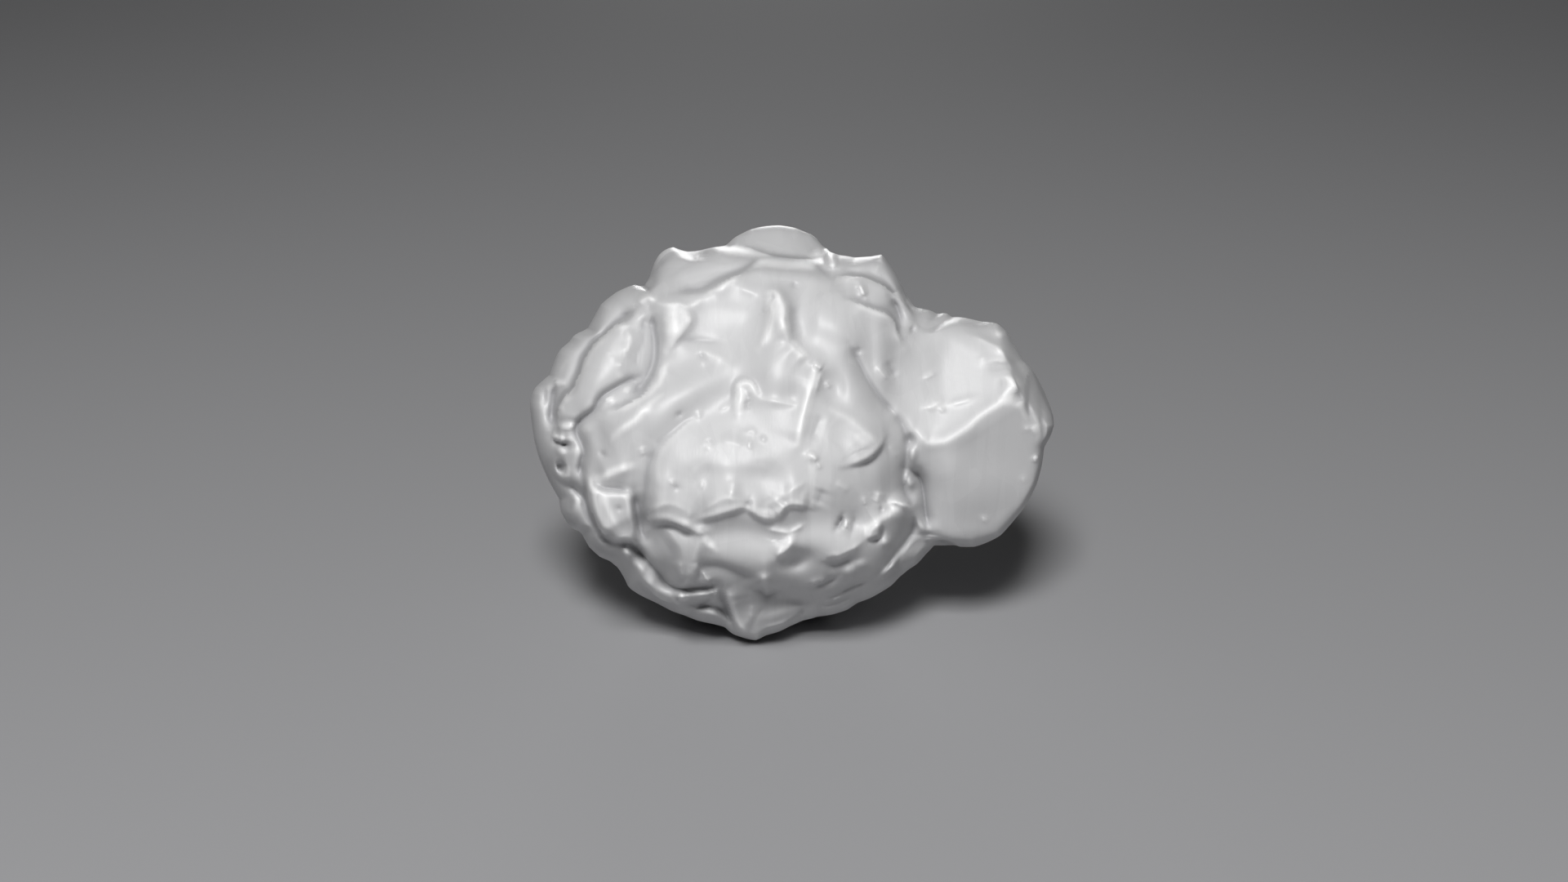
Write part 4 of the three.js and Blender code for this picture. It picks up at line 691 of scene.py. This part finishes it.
def add_swell(total, across, up, height, x, y, wide, tall, turn=0):
    c, s = math.cos(math.radians(turn)), math.sin(math.radians(turn))
    px, py = (across - x) * c + (up - y) * s, (up - y) * c - (across - x) * s
    total += height * np.exp(-(np.hypot(px / wide, py / tall) ** SWELL_POWER))


def add_slab(total, across, up, height, rim, corners):
    inside = np.zeros(len(across), bool)
    nearest = np.full(len(across), np.inf)
    corners = rounded_off(corners, closed=True)
    for (x0, y0), (x, y) in zip(np.roll(corners, 1, axis=0), corners):
        dx, dy = x - x0, y - y0
        px, py = across - x0, up - y0
        held = np.clip((px * dx + py * dy) / (dx * dx + dy * dy), 0, 1)
        nearest = np.minimum(nearest, np.hypot(px - held * dx, py - held * dy))
        crossed = (up < y) != (up < y0)
        with np.errstate(divide="ignore", invalid="ignore"):
            inside ^= crossed & (px < dx * py / dy)
    total += height * smoothstep(np.where(inside, nearest, -nearest), -rim, rim)


def relief(across, up):
    """The height that the relief adds at each place, and how much painted highlight it gets, or below 0 how
    much painted shade.
    """
    total = np.zeros(len(across))
    painted_light = np.zeros(len(across))
    for lines, powers in ((LINES, FLANK_POWERS), (LEDGES, LEDGE_POWERS)):
        for *form, way in lines:
            add_line(total, painted_light, across, up, powers, *form, way=way)
    for swell in SWELLS:
        add_swell(total, across, up, *swell)
    for slab in SLABS:
        add_slab(total, across, up, *slab)
    # The lit facets get a painted highlight.
    for facet in PAINTED_LIT_FACETS:
        add_slab(painted_light, across, up, *facet)
    return total, np.clip(painted_light, -1, 1)


# ---- its mesh: an icosahedron cut finely, its corners drawn together on the face
CUTS = 99
CROWDING = np.array([-0.1, -0.02, 0.25])
ALIKE_DIGITS = 6
golden = (1 + math.sqrt(5)) / 2
ICOSAHEDRON = unit(np.array([
    (-1, golden, 0), (1, golden, 0), (-1, -golden, 0), (1, -golden, 0), (0, -1, golden), (0, 1, golden),
    (0, -1, -golden), (0, 1, -golden), (golden, 0, -1), (golden, 0, 1), (-golden, 0, -1), (-golden, 0, 1),
]))
ICOSAHEDRON_FACES = [
    (0, 11, 5), (0, 5, 1), (0, 1, 7), (0, 7, 10), (0, 10, 11), (1, 5, 9), (5, 11, 4), (11, 10, 2),
    (10, 7, 6), (7, 1, 8), (3, 9, 4), (3, 4, 2), (3, 2, 6), (3, 6, 8), (3, 8, 9), (4, 9, 5), (2, 4, 11),
    (6, 2, 10), (8, 6, 7), (9, 8, 1),
]


def geodesic(cuts):
    """Unit directions and triangles of an icosahedron with each edge cut in so many parts."""
    rows, columns = np.tril_indices(cuts + 1)
    shares = np.stack([cuts - rows, rows - columns, columns]) / cuts
    small = []
    for here, row in enumerate(rows[: -cuts - 1]):
        below = here + row + 1
        small.append((here, below, below + 1))
        if columns[here] < row:
            small.append((here, below + 1, here + 1))
    small = np.array(small)
    points = np.concatenate([shares.T @ ICOSAHEDRON[list(face)] for face in ICOSAHEDRON_FACES])
    faces = np.concatenate([small + i * len(rows) for i in range(len(ICOSAHEDRON_FACES))])
    alike = np.round(points, ALIKE_DIGITS)
    _, first, index = np.unique(alike, axis=0, return_index=True, return_inverse=True)
    return unit(points[first]), index.reshape(-1)[faces]


def vertex_normals(points, faces):
    a, b, c = (points[faces[:, i]] for i in range(3))
    across_face = np.cross(b - a, c - a)
    normals = np.zeros_like(points)
    for i in range(3):
        for axis in range(3):
            normals[:, axis] += np.bincount(faces[:, i], across_face[:, axis], len(points))
    return unit(normals)


directions, faces = geodesic(CUTS)
directions = unit(directions + CROWDING)
points = surface_points(directions)
normals = vertex_normals(points, faces)

# The face's relief moves each point towards the eye, so that it shows at its own place, by more where the
# surface is turned away. Where it is turned away most, it fades out, so that the outline holds.
TURNED_AWAY = (0.12, 0.55)
STEEPEST = 0.5

sight = unit(EYE - points)
squareness = (normals * sight).sum(axis=1)
scale = EYE[2] / (EYE[2] - points[:, 2])
across = EYE[0] + (points[:, 0] - EYE[0]) * scale
up = EYE[1] + (points[:, 1] - EYE[1]) * scale
face_relief, face_painted_light = relief(across, up)
farther = smoothstep(squareness, *TURNED_AWAY) / np.maximum(squareness, STEEPEST)
points = points + sight * (farther * face_relief)[:, None]

# The hidden side has relief of the same kind, wrapped round it from its middle and joined by chipped
# plates. Near the rim this relief only hollows, so the outline still holds. The foot stays clear of it.
HIDDEN_TURN = 152
HIDDEN_SHIFT = (-6, 3)
HIDDEN_DEPTH = 33
HIDDEN_WRAP = 0.45
HIDDEN_HEIGHT = 0.8
HOLLOWED = (0.05, 0.16)
RAISED = (0.35, 0.6)
DOWN = np.array([0, -math.cos(LEAN), -math.sin(LEAN)])
FOOT = (0.75, 0.95)

off_foot = 1 - smoothstep(directions @ DOWN, *FOOT)
aside = np.hypot(points[:, 0] - CENTRE[0], points[:, 1] - CENTRE[1])
wrapped = turned_back((points - CENTRE) * np.array([1, 1, 0]), HIDDEN_TURN)
wrapped *= (1 + HIDDEN_WRAP * (points[:, 2] + HIDDEN_DEPTH) / np.maximum(aside, 1))[:, None]
chips = sum(chip_height(directions, *chip) for chip in CHIPS)
hidden_relief, hidden_painted_light = relief(wrapped[:, 0] + HIDDEN_SHIFT[0], wrapped[:, 1] + HIDDEN_SHIFT[1])
hidden_relief = chips + HIDDEN_HEIGHT * hidden_relief
# The painted highlight and shade: the face's own, and on the hidden side the wrapped relief's, where it is
# raised.
painted_light = np.where(squareness > 0, face_painted_light, hidden_painted_light * smoothstep(-squareness, *RAISED))
hollowed = np.minimum(hidden_relief, 0) * smoothstep(-squareness, *HOLLOWED)
raised = np.maximum(hidden_relief, 0) * smoothstep(-squareness, *RAISED)
points = points + normals * (off_foot * (hollowed + raised))[:, None]

MM_PER_M = 1000


def stood_up(places):
    """Places on the sheet's axes, in the frame, once the sheet stands up from its lean."""
    return places @ np.array(Matrix.Rotation(math.pi / 2 - LEAN, 3, "X")).T - ORIGIN


# The lowest points are pressed flat on the floor, and the mesh is in metres.
points = stood_up(points)
points[:, 2] = np.maximum(points[:, 2], 0)
mesh = bpy.data.meshes.new("hailstone_ice")
mesh.from_pydata((points / MM_PER_M).tolist(), [], faces.tolist())
mesh.shade_smooth()
mesh.validate()

# How far each point stands out from those close round it and farther round: crests above 0, creases below.
CLOSE_ROUND = 4
FAR_ROUND = 40
OWN_WEIGHT = 2
sides = [faces[:, [0, 1]], faces[:, [1, 2]], faces[:, [2, 0]]]
edges = np.unique(np.sort(np.concatenate(sides), axis=1), axis=0)
counts = np.bincount(edges.ravel(), minlength=len(points))


def averaged(values, times):
    """The values at the points, each averaged with its neighbours' so many times over."""
    for _ in range(times):
        total = values * OWN_WEIGHT
        for start, end in (edges.T, edges.T[::-1]):
            for axis in range(values.shape[1]):
                total[:, axis] += np.bincount(start, values[end, axis], len(values))
        values = total / (counts[:, None] + OWN_WEIGHT)
    return values


normals = vertex_normals(points, faces)
standing_out = ((points - averaged(points, CLOSE_ROUND)) * normals).sum(axis=1)
standing_wide = ((points - averaged(points, FAR_ROUND)) * normals).sum(axis=1)
# Crest and swell measure the shape; the third attribute holds the painted highlight and shade.
for name, values in (("crest", standing_out), ("swell", standing_wide), ("painted_light", painted_light)):
    attribute = mesh.attributes.new(name, "FLOAT", "POINT")
    attribute.data.foreach_set("value", values.astype(np.float32))


def placed(name, data):
    """A new object in the scene for a mesh, a lamp or a camera."""
    made = bpy.data.objects.new(name, data)
    bpy.context.scene.collection.objects.link(made)
    return made


hailstone = placed("hailstone_ice", mesh)


class Wire:
    """A node's output, with the arithmetic that this material uses."""

    tree = None

    def __init__(self, socket):
        self.socket = socket

    @classmethod
    def node(cls, kind, settings=None, output=0, **inputs):
        made = cls.tree.nodes.new(kind)
        for name, value in (settings or {}).items():
            setattr(made, name, value)
        for name, value in inputs.items():
            socket = made.inputs[int(name[1:]) if name[1:].isdigit() else name]
            if isinstance(value, Wire):
                cls.tree.links.new(value.socket, socket)
            else:
                socket.default_value = value
        return cls(made.outputs[output])

    def maths(self, operation, other):
        return Wire.node("ShaderNodeMath", {"operation": operation}, i0=self, i1=other)

    def __add__(self, other):
        return self.maths("ADD", other)

    __radd__ = __add__

    def __mul__(self, other):
        return self.maths("MULTIPLY", other)

    __rmul__ = __mul__

    def between(self, low, high):
        """0 at low, 1 at high, and smooth in between."""
        smooth = {"interpolation_type": "SMOOTHSTEP"}
        return Wire.node("ShaderNodeMapRange", smooth, i0=self, i1=low, i2=high)


# The ice's own grey, a grey for painted shade that the crystal plates also tint towards, and a white for
# painted highlights.
ICE_GREY = (0.66, 0.66, 0.665, 1)
SHADE_AND_CRYSTAL_GREY = (0.36, 0.36, 0.37, 1)
PAINTED_HIGHLIGHT_WHITE = (0.93, 0.93, 0.93, 1)

ice = bpy.data.materials.new("satin_milky_ice")
ice.use_nodes = True
shader = ice.node_tree.nodes["Principled BSDF"]
Wire.tree = ice.node_tree
place = Wire.node("ShaderNodeTexCoord", output="Object")
# The shape's crests and swellings, and the painted highlight and shade.
crest, swell, painted_light = (
    Wire.node("ShaderNodeAttribute", {"attribute_name": kind}, output="Fac")
    for kind in ("crest", "swell", "painted_light")
)
cloudy = Wire.node("ShaderNodeTexNoise", i0=place, Scale=90.0, Detail=4.0)
grain = Wire.node("ShaderNodeTexNoise", i0=place, Scale=900.0, Detail=3.0)
combed = Wire.node("ShaderNodeMapping", i0=place, Rotation=(0, math.radians(24), 0), Scale=(2600, 900, 160))
streaks = Wire.node("ShaderNodeTexNoise", i0=combed, Scale=1.0, Detail=3.0)
crystals = Wire.node("ShaderNodeTexVoronoi", i0=place, Scale=140.0, output="Color")
slivers = Wire.node("ShaderNodeTexVoronoi", i0=combed, Scale=0.22, output="Color")


def mixed(share, first, second):
    return Wire.node("ShaderNodeMix", {"data_type": "RGBA"}, output=2, Factor=share, i6=first, i7=second)


def standing(crest_span, crest_share, swell_span, swell_share):
    """How much forms show, each from where it starts to where it is in full."""
    return crest.between(*crest_span) * crest_share + swell.between(*swell_span) * swell_share


# Painted highlight on crests and broad swellings, and painted shade in creases and broad hollows, from the
# mesh's own shape.
painted_crest_highlight = standing((0.04, 0.22), 0.6, (0.2, 1.2), 0.15)
painted_crease_shade = standing((-0.03, -0.2), 0.3, (-0.15, -1.1), 0.45)

# Crystal plates and slivers tint the ice first. Then come coats of tone, painted shade in creases and
# hollows and painted highlights on crests, swellings and lit facets:
# where each lies, how strong it is evenly and unevenly, what makes it uneven, and its colour. Below 0 the
# painted light turns to painted shade in the grooves.
CRYSTAL_SHARE = 0.1
SLIVER_SHARE = 0.14
GROOVE_SHADE_SHARE = -0.5
# The grey serves both the crystal plates' real tint and the painted shade in creases, hollows and grooves.
tone = mixed(crystals * CRYSTAL_SHARE + slivers * SLIVER_SHARE, ICE_GREY, SHADE_AND_CRYSTAL_GREY)
for where, even, uneven, pattern, colour in (
    (painted_crease_shade, 0.85, 0.3, cloudy, SHADE_AND_CRYSTAL_GREY),
    (painted_crest_highlight, 0.8, 0.4, streaks, PAINTED_HIGHLIGHT_WHITE),
    (painted_light, 0.55, 0.6, streaks, PAINTED_HIGHLIGHT_WHITE),
):
    tone = mixed(where * (even + pattern * uneven), tone, colour)
tone = mixed(painted_light * GROOVE_SHADE_SHARE, tone, SHADE_AND_CRYSTAL_GREY)
links = ice.node_tree.links
links.new(tone.socket, shader.inputs["Base Color"])

# Satin where it is clean, and duller in clouds, along the combed grain and in creases.
SATIN = 0.34
CLOUD_DULL = 0.1
STREAK_DULL = 0.08
CREASE_DULL = 0.12
STREAK_BUMP = 0.6
GRAIN_BUMP = 0.4
roughness = SATIN + cloudy * CLOUD_DULL + streaks * STREAK_DULL + painted_crease_shade * CREASE_DULL
links.new(roughness.socket, shader.inputs["Roughness"])
bumps = streaks * STREAK_BUMP + grain * GRAIN_BUMP
bump = Wire.node("ShaderNodeBump", output="Normal", Strength=0.12, Distance=0.0002, Height=bumps)
links.new(bump.socket, shader.inputs["Normal"])
shader.inputs["IOR"].default_value = 1.45
mesh.materials.append(ice)

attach(hailstone, "root")
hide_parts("hailstone")

# ---- Floor ----
# A plain pale floor of matt paint, one flat face, wide enough that its edge is far away.
FLOOR_GREY = (0.36, 0.36, 0.37, 1)
FLOOR_ROUGHNESS = 0.9
FLOOR_HALF = 6.0
floor_mesh = bpy.data.meshes.new("floor")
floor_corners = [(x * FLOOR_HALF, y * FLOOR_HALF, 0) for x, y in ((-1, -1), (1, -1), (1, 1), (-1, 1))]
floor_mesh.from_pydata(floor_corners, [], [(0, 1, 2, 3)])
floor = placed("floor", floor_mesh)
paint = bpy.data.materials.new("floor_paint")
paint.use_nodes = True
matt = paint.node_tree.nodes["Principled BSDF"]
matt.inputs["Base Color"].default_value = FLOOR_GREY
matt.inputs["Roughness"].default_value = FLOOR_ROUGHNESS
floor_mesh.materials.append(paint)

# ---- Light and camera ----
# Soft studio light: a broad key from above the camera, a weaker lamp low behind the stone that lights its
# back, and a dim even sky. The camera stands at the eye point and looks square at the sheet.
SKY = 0.02
world = bpy.data.worlds.new("studio")
world.use_nodes = True
sky = world.node_tree.nodes["Background"]
sky.inputs["Color"].default_value = (1, 1, 1, 1)
sky.inputs["Strength"].default_value = SKY
bpy.context.scene.world = world
bpy.context.scene.view_settings.view_transform = "Standard"

# Each lamp's name, place on the sheet's axes, watts and size in metres. Both aim at the stone's middle.
LAMPS = [("key", (-75, 490, 845), 9.0, 0.28), ("back", (0, 960, -2000), 6.0, 0.45)]
AIM = Vector((0, 0, 0.035))
for name, spot, watts, size in LAMPS:
    lamp = bpy.data.lights.new(name, "AREA")
    lamp.energy = watts
    lamp.size = size
    lamp_object = placed(name, lamp)
    lamp_object.location = stood_up(spot) / MM_PER_M
    lamp_object.rotation_euler = (AIM - lamp_object.location).to_track_quat("-Z", "Y").to_euler()
    lamp_object.visible_camera = False

CAMERA_SPOT = (-1.5625, -1.5625, 416.67)
camera = bpy.data.cameras.new("camera")
camera.lens = 50
camera.sensor_width = 36
camera.clip_start = 0.01
camera_object = placed("camera", camera)
camera_object.location = stood_up(CAMERA_SPOT) / MM_PER_M
camera_object.rotation_euler = (math.pi / 2 - LEAN, 0, 0)
bpy.context.scene.camera = camera_object
